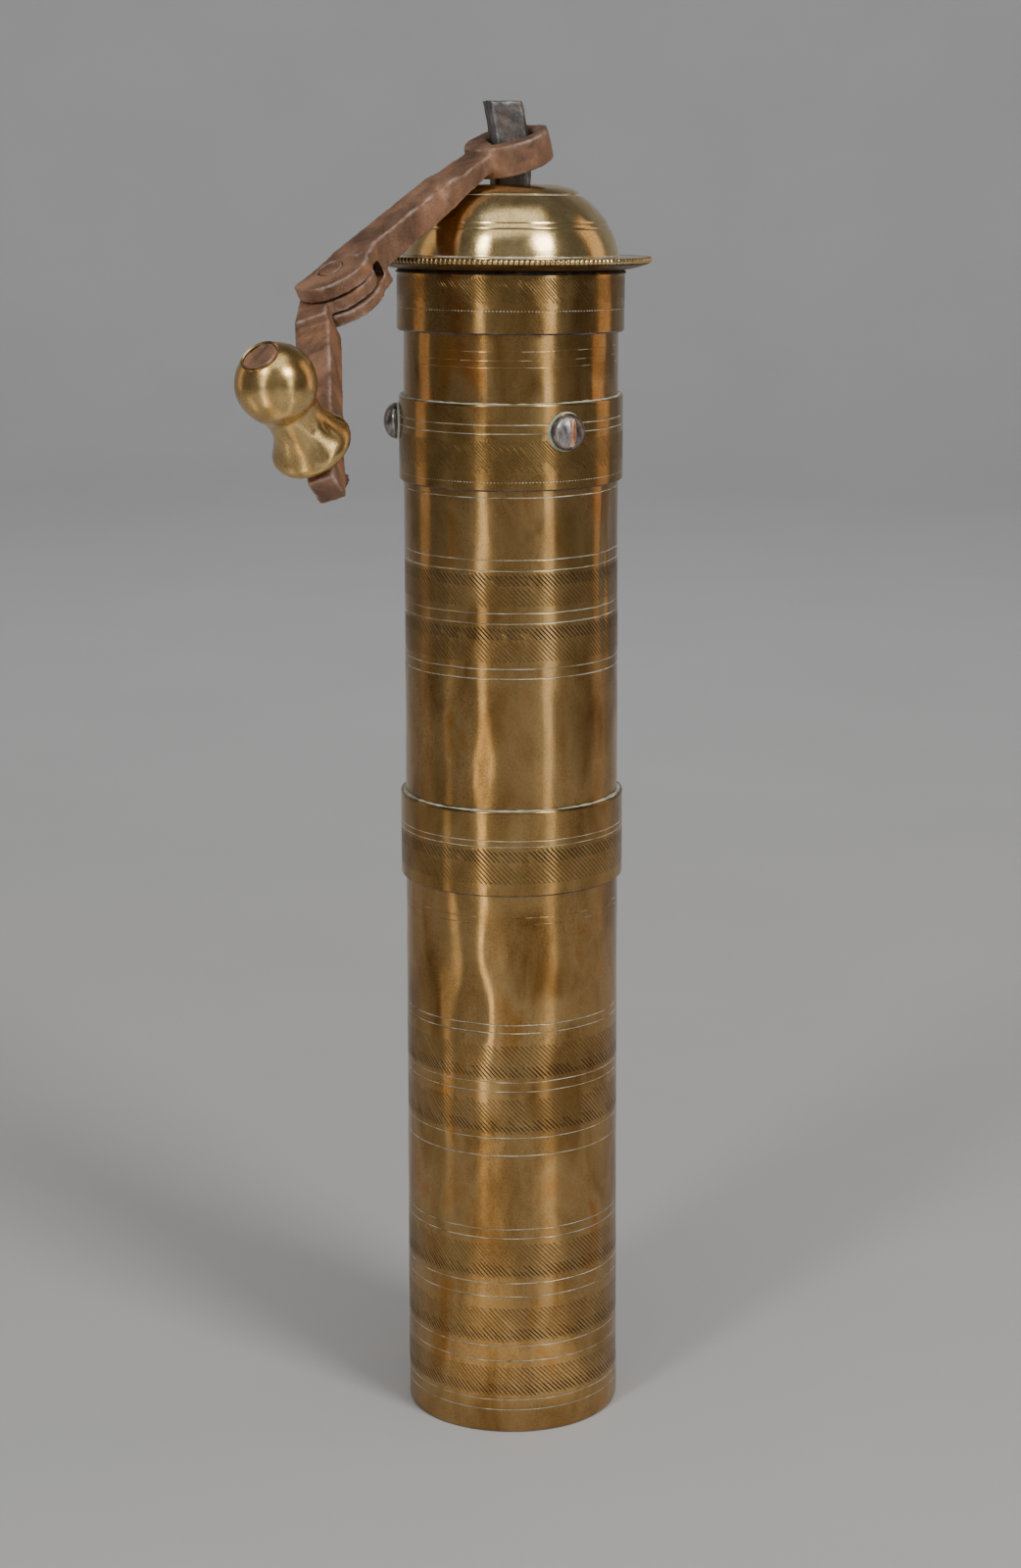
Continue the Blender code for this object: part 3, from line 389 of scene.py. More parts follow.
def iron(name, tones, rust, edge, roughness, pitting=0.5, metallic=0.75):
    """Forged iron: a brown skin with pits, rust in patches, and brighter metal where it is worn."""
    material = metal(name, tones, roughness, 6 * MM, scratch=pitting, metallic=metallic)
    tree = material.node_tree
    shader = tree.nodes["Principled BSDF"]
    skin = shader.inputs["Base Color"].links[0].from_socket
    rust_tone = ramp_node(tree, noise_node(tree, 0.8 * MM, shift=2.1), [(0.3, rust[0]), (0.7, rust[1])])
    rusted = range_node(tree, noise_node(tree, 6 * MM, detail=8.0, shift=2.6), 0.0, 0.8, 0.56, 0.72)
    worn = tree.nodes.new("ShaderNodeNewGeometry").outputs["Pointiness"]
    handled = range_node(tree, noise_node(tree, 5 * MM, detail=5.0, shift=5.0), 0.0, 1.0, 0.40, 0.62)
    edges = product_node(tree, range_node(tree, worn, 0.0, 0.9, 0.506, 0.535), handled)
    bright = ramp_node(tree, noise_node(tree, 1.5 * MM, shift=4.0), [(0.3, edge[0]), (0.7, edge[1])])
    coloured = mix_node(tree, rusted, skin, rust_tone)
    link(tree, mix_node(tree, edges, coloured, bright), shader.inputs["Base Color"])
    link(tree, range_node(tree, rusted, metallic, 0.1, 0.0, 1.0), shader.inputs["Metallic"])
    pits = noise_node(tree, 0.9 * MM, detail=6.0, shift=3.0)
    below = shader.inputs["Normal"].links[0].from_socket
    link(tree, bump_node(tree, pits, pitting, 0.25 * MM, below), shader.inputs["Normal"])
    return material


def make_materials():
    """Every material by name. Tones are linear colours, from the darkest patches to the lightest."""
    looks = {}
    tube_tones = ((0.23, 0.118, 0.034), (0.36, 0.212, 0.074), (0.46, 0.292, 0.118), (0.42, 0.200, 0.050))
    band_tones = ((0.26, 0.143, 0.044), (0.38, 0.228, 0.080), (0.46, 0.298, 0.118))
    lid_tones = ((0.62, 0.440, 0.190), (0.76, 0.565, 0.265), (0.82, 0.640, 0.320))
    knob_tones = ((0.42, 0.250, 0.085), (0.62, 0.420, 0.170), (0.70, 0.500, 0.230))
    around = (9.0, 9.0, 0.45)
    finely = (14.0, 14.0, 0.3)
    looks["tube"] = metal("aged_brass", tube_tones, (0.17, 0.28), 11 * MM, around, 0.12, lathe=0.85)
    looks["band"] = metal("band_brass", band_tones, (0.17, 0.28), 8 * MM, around, 0.12, lathe=0.85)
    looks["inside"] = metal("tube_inside_brass", band_tones, (0.40, 0.55), 8 * MM, around, 0.30)
    looks["lid"] = metal("turned_brass", lid_tones, (0.14, 0.24), 7 * MM, finely, 0.14, lathe=0.5)
    looks["knob"] = metal("cast_brass", knob_tones, (0.18, 0.30), 6 * MM, scratch=0.30)
    # Painted shade: a dark brass for the underside of the lid's flange and one side of each groove
    # between the rim's beads
    painted_shade_tones = ((0.090, 0.052, 0.018), (0.150, 0.090, 0.032), (0.220, 0.140, 0.055))
    looks["underside"] = metal("painted_shade_brass", painted_shade_tones, (0.32, 0.48), 4 * MM, scratch=0.4)
    residue_tones = ((0.20, 0.150, 0.080), (0.45, 0.43, 0.33), (0.76, 0.78, 0.70))
    looks["residue"] = metal("polish_residue", residue_tones, (0.5, 0.7), 5 * MM, metallic=0.3)
    verdigris_tones = ((0.26, 0.33, 0.24), (0.48, 0.55, 0.45), (0.70, 0.74, 0.64))
    looks["verdigris"] = metal("verdigris_line", verdigris_tones, (0.5, 0.7), 4 * MM, metallic=0.2)
    stroke_tones = ((0.020, 0.014, 0.008), (0.045, 0.030, 0.016), (0.100, 0.064, 0.028))
    looks["stroke"] = metal("engraved_stroke", stroke_tones, (0.35, 0.55), 6 * MM, metallic=0.8)
    scratch_tones = ((0.120, 0.070, 0.024), (0.190, 0.115, 0.040), (0.270, 0.165, 0.060))
    looks["faint_stroke"] = metal("light_stroke", scratch_tones, (0.30, 0.45), 6 * MM, metallic=0.9)
    # A dark bluish metal, also used as a painted shadow along the undercut lower edge of each band and
    # of the skirt
    solder_and_shadow_tones = ((0.035, 0.036, 0.045), (0.085, 0.088, 0.105), (0.20, 0.20, 0.22))
    looks["solder"] = metal("dark_solder", solder_and_shadow_tones, (0.35, 0.55), 3 * MM, metallic=0.5)
    steel_tones = ((0.09, 0.080, 0.078), (0.27, 0.25, 0.25), (0.48, 0.46, 0.46))
    looks["steel"] = metal("worn_steel", steel_tones, (0.24, 0.40), 1.6 * MM, scratch=0.6)
    copper_tones = ((0.34, 0.17, 0.10), (0.70, 0.42, 0.28), (0.85, 0.62, 0.48))
    looks["slot"] = metal("slot_copper", copper_tones, (0.35, 0.55), 1 * MM, metallic=0.5)
    brown = ((0.140, 0.076, 0.048), (0.265, 0.142, 0.084), (0.410, 0.225, 0.130))
    rust = ((0.24, 0.100, 0.048), (0.43, 0.190, 0.082))
    grey = ((0.060, 0.055, 0.052), (0.12, 0.115, 0.11), (0.20, 0.195, 0.19))
    black = ((0.030, 0.028, 0.027), (0.070, 0.066, 0.064), (0.13, 0.125, 0.12))
    worn_brown = ((0.26, 0.16, 0.12), (0.50, 0.39, 0.33))
    worn_grey = ((0.30, 0.29, 0.28), (0.48, 0.47, 0.46))
    dull = ((0.09, 0.055, 0.04), (0.16, 0.09, 0.06))
    looks["crank"] = iron("rusty_iron", brown, rust, worn_brown, (0.48, 0.66), 0.45, 0.40)
    looks["bar"] = iron("worn_iron", grey, dull, worn_grey, (0.38, 0.55), 0.5)
    looks["forged"] = iron("forged_iron", black, rust, worn_grey, (0.45, 0.65), 0.5)
    looks["burr"] = iron("burr_iron", black, dull, worn_grey, (0.35, 0.5), 0.4)
    return looks


# Meshes


def new_object(name, data, *materials):
    obj = bpy.data.objects.new(name, data)
    bpy.context.scene.collection.objects.link(obj)
    for material in materials:
        data.materials.append(material)
    return obj


def piece(obj, body, slot, *replaced):
    """Puts a finished piece on its body in place of the plain nodes it stands for. Its slot is not used.
    """
    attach(obj, body)
    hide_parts(*replaced)


def ring_points(azimuths, radius, height):
    """Points round Z, whose radius and height are one value or one for each point."""
    points = np.empty((len(azimuths), 3))
    points[:, 0] = np.sin(azimuths) * radius
    points[:, 1] = -np.cos(azimuths) * radius
    points[:, 2] = height
    return points


def grid_mesh(name, points, slots, closed_rows=True):
    """A tube-like mesh from points[row, column], closed round its columns and, if asked, its rows.
    slots[row, column] is the material slot of the face that starts at that point."""
    rows, columns = points.shape[:2]
    steps = rows if closed_rows else rows - 1
    row, column = np.meshgrid(np.arange(steps), np.arange(columns), indexing="ij")
    above = (row + 1) % rows
    beside = (column + 1) % columns
    corners = (row * columns + column, row * columns + beside)
    corners += (above * columns + beside, above * columns + column)
    faces = np.stack(corners, -1).reshape(-1, 4)
    mesh = bpy.data.meshes.new(name)
    mesh.from_pydata(points.reshape(-1, 3).tolist(), [], faces.tolist())
    mesh.polygons.foreach_set("material_index", slots[:steps].reshape(-1).astype(np.int32))
    mesh.shade_smooth()
    mesh.set_sharp_from_angle(angle=math.radians(50))
    mesh.update()
    return mesh


def apply_modifiers(obj):
    bpy.context.view_layer.update()
    graph = bpy.context.evaluated_depsgraph_get()
    mesh = bpy.data.meshes.new_from_object(obj.evaluated_get(graph))
    obj.modifiers.clear()
    obj.data = mesh


def outline_from(radius, height, steps):
    """Points of a turned outline, as steps in mm out and up from one place."""
    return [(radius + out * MM, height + up * MM) for out, up in steps]


def bevel_edges(obj, width, sharper_than):
    """Rounds the edges that are sharper than an angle in degrees, and applies every modifier."""
    bevel = obj.modifiers.new("Edges", "BEVEL")
    bevel.width = width
    bevel.segments = 2
    bevel.limit_method = "ANGLE"
    bevel.angle_limit = math.radians(sharper_than)
    apply_modifiers(obj)


def turned(name, profile, columns, *materials):
    """A turned piece from a closed outline of (radius, height), running up its outer side."""
    azimuths = np.arange(columns) * 2 * math.pi / columns
    points = np.stack([ring_points(azimuths, radius, height) for radius, height in profile])
    mesh = grid_mesh(name, points, np.zeros((len(profile), columns)))
    return new_object(name, mesh, *materials)


# Engraved tubes


def ripples(azimuth, z):
    """Slight unevenness of beaten sheet, from 0 to 1, periodic round the tube."""
    total = np.zeros(np.broadcast(azimuth, z).shape)
    for turns, pitch, phase in WAVES:
        total += np.sin(turns * azimuth + z * 1000 * 2 * math.pi / pitch + phase) / len(WAVES)
    return (total + 1.0) / 2.0


def dents(azimuth, z):
    """How deep the sheet is pushed in at a place."""
    total = np.zeros(np.broadcast(azimuth, z).shape)
    for where, height, across, up, depth in DENTS:
        apart = (azimuth - math.radians(where) + math.pi) % (2 * math.pi) - math.pi
        u = apart * DENT_RADIUS / across
        v = (z * 1000 - height) / up
        total += depth * MM * np.exp(-(u * u + v * v))
    return total


def engraving_rows(bottom, top, radius_at, lines, hatches, faint_lines=(), dotted_lines=()):
    """The rows of an engraved wall from its bottom to its top."""
    rows = [Row(z, radius_at(z)) for z in (bottom, top)]
    for kind, cut, width, heights in (
        ("line", 1.0, LINE_WIDTH, lines),
        ("faint", FAINT_LINE_CUT, LINE_WIDTH / 2, faint_lines),
        ("dots", 1.0, LINE_WIDTH, dotted_lines),
    ):
        for height in heights:
            for side in LINE_ROWS:
                z = height * MM + side * width / 2
                mark = f"{kind} {height}" if abs(side) < 2 else ""
                rows.append(Row(z, radius_at(z), cut if side == 0 else 0.0, 0.0, mark))
    for low, high, deep_end, depth in hatches:
        for share, cut in STROKE_PROFILE:
            up = share if deep_end == "low" else 1.0 - share
            z = (low + (high - low) * up) * MM
            rows.append(Row(z, radius_at(z), 0.0, cut * depth, f"hatch {low}"))
    rows.sort(key=lambda row: row.z)
    return filled_rows(rows, radius_at)


def filled_rows(rows, radius_at):
    """Adds rows where two are far apart. Between two rows of a hatched band they are cut as well."""
    filled = [rows[0]]
    for below, row in zip(rows, rows[1:]):
        count = int((row.z - below.z) / ROW_SPACING)
        for i in range(1, count + 1):
            share = i / (count + 1)
            z = below.z + (row.z - below.z) * share
            inside = below.mark == row.mark and row.mark.startswith("hatch")
            cut = below.stroke + (row.stroke - below.stroke) * share if inside else 0.0
            filled.append(Row(z, radius_at(z), 0.0, cut, row.mark if inside else ""))
        filled.append(row)
    return filled


def shear_angle(z, hatches, radius):
    """How far the columns have turned by a height, so that they run along the slanted strokes."""
    turned_by = 0.0
    for low, high, _, _ in hatches:
        crossed = min(max(high * MM - z, 0.0), (high - low) * MM)
        turned_by += crossed / math.tan(STROKE_SLOPE) / radius
    return turned_by


def stroke_columns(radius, strokes, seed):
    """The azimuths of a wall's columns, with its stroke's depth and its stroke's end for each."""
    draw = random.Random(seed)
    pitch = 2 * math.pi / strokes
    half = STROKE_WIDTH / 2 / radius * math.sqrt(STROKES / strokes)
    edge = half + STROKE_EDGE / radius
    centres = np.array([k * pitch + draw.uniform(-0.10, 0.10) * pitch for k in range(strokes)])
    depths = np.array([draw.uniform(0.75, 1.15) for _ in range(strokes)])
    ends = np.array([draw.uniform(-0.45, 0.45) * MM for _ in range(strokes)])
    across = (centres - edge, centres - half, centres, centres + half, centres + edge)
    azimuths = np.stack(across, -1).reshape(-1)
    return azimuths, np.repeat(depths, STROKE_COLUMNS), np.repeat(ends, STROKE_COLUMNS)


def wall_slots(rows, columns, depths):
    """The material slot of each face of an engraved wall."""
    slots = np.full((len(rows) + 2, len(columns)), OUTSIDE)
    slots[len(rows)] = INSIDE
    in_groove = np.tile(STROKE_FACES, len(columns) // STROKE_COLUMNS)
    for i, (below, above) in enumerate(zip(rows, rows[1:])):
        if below.mark != above.mark:
            continue
        if below.mark.startswith("line"):
            slots[i] = RESIDUE
        # A band's undercut lower edge is painted dark: a painted shadow under the band
        if below.mark == "edge":
            slots[i] = EDGE_SHADOW
        if below.mark.startswith("faint"):
            dashes = np.sin(11 * columns) + np.sin(23 * columns + below.z * 9000)
            slots[i] = np.where(dashes > FAINT_DASHES, RESIDUE, OUTSIDE)
        if below.mark.startswith("dots"):
            slots[i] = np.where(in_groove, RESIDUE, OUTSIDE)
        if below.mark.startswith("hatch"):
            deep = (below.stroke + above.stroke) / 2 * depths
            light = np.where(deep > STROKE_SHOWN, FAINT_STROKE, OUTSIDE)
            slots[i] = np.where(in_groove, np.where(deep > STROKE_DARK, STROKE, light), OUTSIDE)
    return slots


def engraved_wall(
    name, rows, hatches, wall, seed, strokes=STROKES, dented=True, columns_shift=0.0
):
    """A closed tube whose outer side follows engraved rows, and whose inner side is plain."""
    columns, depths, ends = stroke_columns(rows[0].radius, strokes, seed)
    columns = columns + columns_shift
    middle = np.tile(STROKE_ACROSS, strokes)
    rings = []
    for i, row in enumerate(rows):
        azimuth = columns + shear_angle(row.z, hatches, row.radius)
        worn = 0.75 + 0.35 * np.sin(3 * azimuth + 40 * row.z) * np.sin(5 * azimuth + row.z * 900)
        ring = row.ring * (middle if row.mark.startswith("dots") else 1.0)
        radius = row.radius - ring * LINE_DEPTH * worn
        radius = radius - row.stroke * STROKE_DEPTH * depths * middle
        if dented and 0 < i < len(rows) - 1:
            radius = radius - (ripples(azimuth, row.z) * RIPPLE + dents(azimuth, row.z))
        tip = row.mark.startswith("hatch") and row.stroke == 0.0
        rings.append(ring_points(azimuth, radius, row.z + (ends * 0.6 if tip else 0.0)))
    for row in (rows[-1], rows[0]):
        azimuth = columns + shear_angle(row.z, hatches, row.radius)
        rings.append(ring_points(azimuth, row.radius - wall, row.z))
    return grid_mesh(name, np.stack(rings), wall_slots(rows, columns, depths))


def wall_materials(outside):
    """The materials of an engraved wall, in the order of its slots."""
    return [LOOKS[name] for name in (outside, *WALL_LOOKS)]


def band_edges(low, high, outer):
    """Rows for a band's free lower edge, which is undercut and painted dark as a shadow under the band,
    and for its upper edge.
    """
    rows = [Row(low + up * MM, outer - inset * MM, mark="edge") for up, inset in BAND_UNDERCUT]
    rows += [Row(low + up * MM, outer - inset * MM) for up, inset in BAND_FOOT]
    rows += [Row(high - down * MM, outer - inset * MM) for down, inset in BAND_TOP]
    return rows


def band_rows(low, high, outer, lines, hatches, dotted_lines):
    """The rows of a straight band, with its edges in place of its two plain ends."""
    rows = engraving_rows(low, high, lambda z: outer, lines, hatches, dotted_lines=dotted_lines)
    return sorted(rows[1:-1] + band_edges(low, high, outer), key=lambda row: row.z)


def tube_taper():
    """The tubes' outer radius at a height: one straight taper through both of them."""
    foot_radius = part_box("cup_tube")[1].x
    low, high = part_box("upper_tube")
    slope = (foot_radius - high.x) / low.z
    return lambda z: foot_radius - slope * z


def make_cup():
    taper = tube_taper()
    low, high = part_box("cup_tube")

    def radius_at(z):
        rounding = max(FOOT_ROUND - z, 0.0) / FOOT_ROUND
        return taper(z) - FOOT_ROUND * (1.0 - math.sqrt(1.0 - rounding**2))

    rows = engraving_rows(low.z, high.z, radius_at, CUP_LINES, CUP_HATCHES, CUP_FAINT_LINES)
    foot = [Row(z, radius_at(z)) for z in (0.1 * MM, 0.3 * MM, FOOT_ROUND)]
    rows = sorted(rows + foot, key=lambda row: row.z)
    mesh = engraved_wall("cup_tube_engraved", rows, CUP_HATCHES, TUBE_WALL, 11)
    obj = new_object("cup_tube_engraved", mesh, *wall_materials("tube"))
    piece(obj, "cup", "tube_brass", "cup_tube")


def make_upper_tube():
    low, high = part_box("upper_tube")
    taper = tube_taper()
    rows = engraving_rows(low.z, high.z, taper, TUBE_LINES, TUBE_HATCHES, TUBE_FAINT_LINES)
    mesh = engraved_wall("upper_tube_engraved", rows, TUBE_HATCHES, TUBE_WALL, 23, columns_shift=0.01)
    obj = new_object("upper_tube_engraved", mesh, *wall_materials("tube"))
    piece(obj, "mill", "tube_brass", "upper_tube")


def make_band(node, body, lines, hatches, seed, strokes=STROKES, dotted_lines=()):
    """A band soldered round the tubes, with a line of verdigris along its upper edge."""
    low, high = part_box(node)
    outer = high.x
    rows = band_rows(low.z, high.z, outer, lines, hatches, dotted_lines)
    mesh = engraved_wall(node + "_engraved", rows, hatches, BAND_WALL, seed, strokes, dented=False)
    obj = new_object(node + "_engraved", mesh, *wall_materials("band"))
    piece(obj, body, "band_brass", node)
    tube = tube_taper()(high.z)
    edge = (tube - 0.1 * MM, outer - 0.1 * MM, high.z - 0.25 * MM, high.z + 0.35 * MM)
    solder_ring(node + "_solder", body, *edge, LOOKS["verdigris"], "band_brass")


def solder_ring(name, body, inner, outer, bottom, top, look, slot):
    """A fillet in a corner, a little uneven round its length: verdigris on a band's upper edge, a dark
    ring under the lid's flange.
    """
    belly = ((outer + inner) / 2 + 0.05 * MM, bottom + (top - bottom) * 0.6)
    profile = [(outer, bottom), belly, (inner, top), (inner, bottom)]
    obj = turned(name, profile, SOLDER_COLUMNS, look)
    draw = random.Random(name)
    phases = [draw.uniform(0, 6.28) for _ in range(4)]
    for vertex in obj.data.vertices:
        azimuth = math.atan2(vertex.co.x, -vertex.co.y)
        swing = sum(math.sin(turns * azimuth + p) for turns, p in zip((5, 13, 29, 47), phases)) / 4
        if vertex.co.z > bottom + 0.01 * MM:
            vertex.co.z += (top - bottom) * 0.30 * (swing - 0.6)
    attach(obj, body)
    return obj


# Lid


def dome_side(offset, steps):
    """The dome's side from its foot up to its shoulder, moved in by an offset. The outer side, with
    no offset, has turned grooves with a shallow belt between them."""
    foot = Vector(DOME_FOOT)
    shoulder = Vector(DOME_SHOULDER)
    chord = foot - shoulder
    outward = Vector((-chord.y, chord.x)).normalized()
    points = []
    for i in range(steps + 1):
        up = i / steps
        along = 1.0 - up
        inset = offset
        if offset == 0.0:
            for groove in DOME_GROOVES:
                inset += DOME_GROOVE_DEPTH * math.exp(-((up - groove) * DOME_GROOVE_SHARPNESS) ** 2)
            inset += DOME_BELT_DEPTH * (DOME_GROOVES[0] < up < DOME_GROOVES[1])
        bulge = 4.0 * along * up * DOME_BULGE
        points.append(tuple(shoulder + chord * along + outward * (bulge - inset)))
    return points


def flange_cone():
    """The flange's underside, which sags a little between the skirt and the rim."""
    cone = []
    for i in range(1, 7):
        share = i / 7
        radius = FLANGE_START + (FLANGE_RADIUS - FLANGE_START) * share
        height = FLANGE_UNDERSIDE + (RIM_BOTTOM - FLANGE_UNDERSIDE) * share
        cone.append((radius, height - FLANGE_SAG * math.sin(math.pi * share)))
    return cone


def rim_outline():
    low = outline_from(FLANGE_RADIUS, RIM_BOTTOM, ((-0.35, -0.02), (-0.05, 0.25), (0.0, 0.5)))
    return low + outline_from(FLANGE_RADIUS, RIM_TOP, ((-0.1, -0.2), (-0.45, 0.0), (-1.0, -0.08)))


def flange_top():
    """The flange's upper side, from the rim in to the seam round the dome's foot."""
    rim = outline_from(FLANGE_RADIUS, RIM_TOP, ((-1.6, -0.12), (-3.0, -0.10)))
    return rim + outline_from(*DOME_FOOT, ((1.8, -0.30), (0.5, -0.28), (0.18, -0.36)))


def crown_outline():
    """The cap on the dome's shoulder, from the seam round it in to the hole, and back underneath."""
    seam = ((0.12, -0.42), (-0.10, -0.34), (-0.05, -0.10), (-0.7, 0.45), (-1.7, 1.0))
    side = outline_from(CROWN_RADIUS, CROWN_FOOT, seam)
    side += outline_from(CROWN_EDGE, CROWN_TOP, ((0.0, -0.45), (-1.5, -0.08), (-3.0, 0.0)))
    hole = outline_from(LID_HOLE, CROWN_TOP, ((0.3, 0.0), (0.0, -0.3), (0.0, -3.2)))
    return side + hole + outline_from(CROWN_EDGE, CROWN_TOP, ((0.0, -3.52),))


def bead_the_rim(obj, first_ring, last_ring, columns):
    """Cuts the grooves between the rim's beads, some of them deeper than others."""
    draw = random.Random(5)
    cuts = np.repeat([draw.uniform(0.6, 1.15) for _ in range(RIM_BEADS)], BEAD_COLUMNS)
    cuts *= np.tile((0.0, 0.0, BEAD_DEPTH), RIM_BEADS)
    for ring in range(first_ring, last_ring):
        for column in range(columns):
            vertex = obj.data.vertices[ring * columns + column]
            radius = math.hypot(vertex.co.x, vertex.co.y)
            vertex.co.x *= (radius - cuts[column]) / radius
            vertex.co.y *= (radius - cuts[column]) / radius
            if vertex.co.z > RIM_BOTTOM + 0.6 * MM:
                vertex.co.z -= cuts[column] * 0.8


def make_lid():
    inner = dome_side(DOME_WALL, 12)
    below = [(inner[0][0], FLANGE_UNDERSIDE), (FLANGE_START, FLANGE_UNDERSIDE)] + flange_cone()
    sections = (below, rim_outline(), flange_top(), dome_side(0.0, 90), crown_outline(), inner[::-1])
    profile = [point for section in sections for point in section]
    ends = np.cumsum([len(section) for section in sections])
    rim_row, rim_end, dome_row, crown_row = ends[0], ends[1] - 1, ends[2] - 2, ends[3] - 1
    columns = RIM_BEADS * BEAD_COLUMNS
    obj = turned("lid_dome_turned", profile, columns, *(LOOKS[name] for name in LID_LOOKS))
    bead_the_rim(obj, rim_row, rim_end, columns)
    # The seams take the residue. The flange's underside and one side of each bead groove take the dark
    # brass, which is painted shade.
    for polygon in obj.data.polygons:
        row, column = divmod(polygon.index, columns)
        if row in (dome_row, dome_row + 1, crown_row, crown_row + 1):
            polygon.material_index = LID_LOOKS.index("residue")
        elif row < rim_row or (row < rim_end and column % BEAD_COLUMNS == 1):
            polygon.material_index = LID_LOOKS.index("underside")
    obj.data.transform(lid_frame())
    piece(obj, "lid", "lid_brass", "lid_dome")


def make_skirt():
    shape = (SKIRT_BOTTOM, SKIRT_TOP, SKIRT_OUTER)
    rows = band_rows(*shape, (), SKIRT_HATCHES, SKIRT_DOTTED_LINES)
    name = "lid_skirt_engraved"
    mesh = engraved_wall(name, rows, SKIRT_HATCHES, SKIRT_WALL, 31, FINE_STROKES, dented=False)
    mesh.transform(lid_frame())
    obj = new_object(name, mesh, *wall_materials("band"))
    piece(obj, "lid", "band_brass", "lid_skirt")
    # A dark ring in the corner between the skirt's top and the flange's underside
    corner = (SKIRT_OUTER - 0.5 * MM, SKIRT_OUTER + 0.35 * MM)
    corner += (SKIRT_TOP - 0.5 * MM, FLANGE_UNDERSIDE + 0.1 * MM)
    ring = solder_ring("lid_solder", "lid", *corner, LOOKS["solder"], "band_brass")
    ring.data.transform(lid_frame())


# Screws


def screw_outline():
    """A screw's shank and domed head, along its axis from the spindle outwards."""
    outline = [(AXIS_GAP, SCREW_FOOT), (SCREW_SHANK, SCREW_FOOT), (SCREW_SHANK, SCREW_SEAT)]
    outline.append((SCREW_HEAD_RADIUS - 0.25 * MM, SCREW_SEAT))
    dome = SCREW_HEAD_HEIGHT - SCREW_HEAD_EDGE
    for i in range(13):
        angle = math.radians(90 * i / 12)
        height = SCREW_SEAT + SCREW_HEAD_EDGE + dome * math.sin(angle)
        outline.append((SCREW_HEAD_RADIUS * math.cos(angle) + AXIS_GAP, height))
    return outline


def cut_slot(screw):
    """Cuts the slot across a head, with a copper look inside, and wears its edges."""
    size = Matrix.Diagonal((SCREW_SLOT_WIDTH, 12 * MM, 2 * SCREW_SLOT_DEPTH, 1.0))
    lift = Matrix.Translation((0.0, 0.0, SCREW_SEAT + SCREW_HEAD_HEIGHT))
    cutter_mesh = bpy.data.meshes.new("slot_cutter")
    grown = bmesh.new()
    bmesh.ops.create_cube(grown, size=1.0, matrix=lift @ size)
    grown.to_mesh(cutter_mesh)
    grown.free()
    cutter = new_object("slot_cutter", cutter_mesh, LOOKS["slot"])
    slot_cut = screw.modifiers.new("Slot", "BOOLEAN")
    slot_cut.operation = "DIFFERENCE"
    slot_cut.object = cutter
    slot_cut.material_mode = "TRANSFER"
    bevel_edges(screw, 0.12 * MM, 50)
    bpy.data.objects.remove(cutter, do_unlink=True)


def make_spider_screws():
    """The three screws that hold the bridge, each in a ring of verdigris on the curve of its band."""
    corner = ((-0.4, -0.30), (0.32, -0.34), (0.16, -0.02), (-0.2, 0.10))
    collar = outline_from(SCREW_HEAD_RADIUS, SCREW_SEAT, corner)
    for place, azimuth in SCREW_AZIMUTHS.items():
        name = f"spider_screw_{place}"
        screw = turned(name + "_head", screw_outline(), SCREW_COLUMNS, LOOKS["steel"])
        cut_slot(screw)
        screw.data.shade_smooth()
        screw.data.set_sharp_from_angle(angle=math.radians(45))
        screw.data.transform(radial(azimuth, SCREW_HEIGHT))
        piece(screw, "mill", "screw_steel", name)
        ring = turned(name + "_residue", collar, SCREW_COLUMNS, LOOKS["verdigris"])
        for vertex in ring.data.vertices:
            vertex.co.z -= vertex.co.x**2 / (2 * BAND_CURVE)
        ring.data.transform(radial(azimuth, SCREW_HEIGHT))
        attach(ring, "mill")


# Iron pieces


def node_copy(name, node, *materials):
    """A copy of a plain node's solid, with its split corners welded."""
    welded = bmesh.new()
    welded.from_mesh(NODES[node].data)
    bmesh.ops.remove_doubles(welded, verts=welded.verts, dist=0.001 * MM)
    bmesh.ops.dissolve_limit(welded, angle_limit=math.radians(1), verts=welded.verts, edges=welded.edges)
    mesh = bpy.data.meshes.new(name)
    welded.to_mesh(mesh)
    welded.free()
    return new_object(name, mesh, *materials)


def chamfer_long_edges(obj, direction, shortest, width):
    """Chamfers the sharp edges that run along a direction."""
    shape = bmesh.new()
    shape.from_mesh(obj.data)
    direction = direction.normalized()
    chosen = []
    for edge in shape.edges:
        along = edge.verts[1].co - edge.verts[0].co
        if along.length < shortest or len(edge.link_faces) != 2:
            continue
        aligned = abs(along.normalized().dot(direction)) > 0.97
        if aligned and edge.calc_face_angle(0.0) > math.radians(30):
            chosen.append(edge)
    bmesh.ops.bevel(shape, geom=chosen, offset=width, segments=1, affect="EDGES", clamp_overlap=True)
    shape.to_mesh(obj.data)
    shape.free()


def forge(obj, voxel, swell, seed, rounds=3):
    """Gives a solid the soft corners and uneven faces of hand-forged iron."""
    remesh = obj.modifiers.new("Remesh", "REMESH")
    remesh.mode = "VOXEL"
    remesh.voxel_size = voxel
    remesh.use_smooth_shade = True
    relax = obj.modifiers.new("Relax", "SMOOTH")
    relax.factor = 0.5
    relax.iterations = rounds
    materials = list(obj.data.materials)
    apply_modifiers(obj)
    obj.data.materials.clear()
    for material in materials:
        obj.data.materials.append(material)
    shift = Vector((seed, seed * 0.37, -seed * 0.61))
    normals = [vertex.normal.copy() for vertex in obj.data.vertices]
    for vertex, normal in zip(obj.data.vertices, normals):
        broad = noise.noise(vertex.co / (5.0 * MM) + shift)
        fine = noise.noise(vertex.co / (1.3 * MM) + shift)
        vertex.co += normal * swell * (0.7 * broad + 0.3 * fine - 0.35)
    obj.data.shade_smooth()


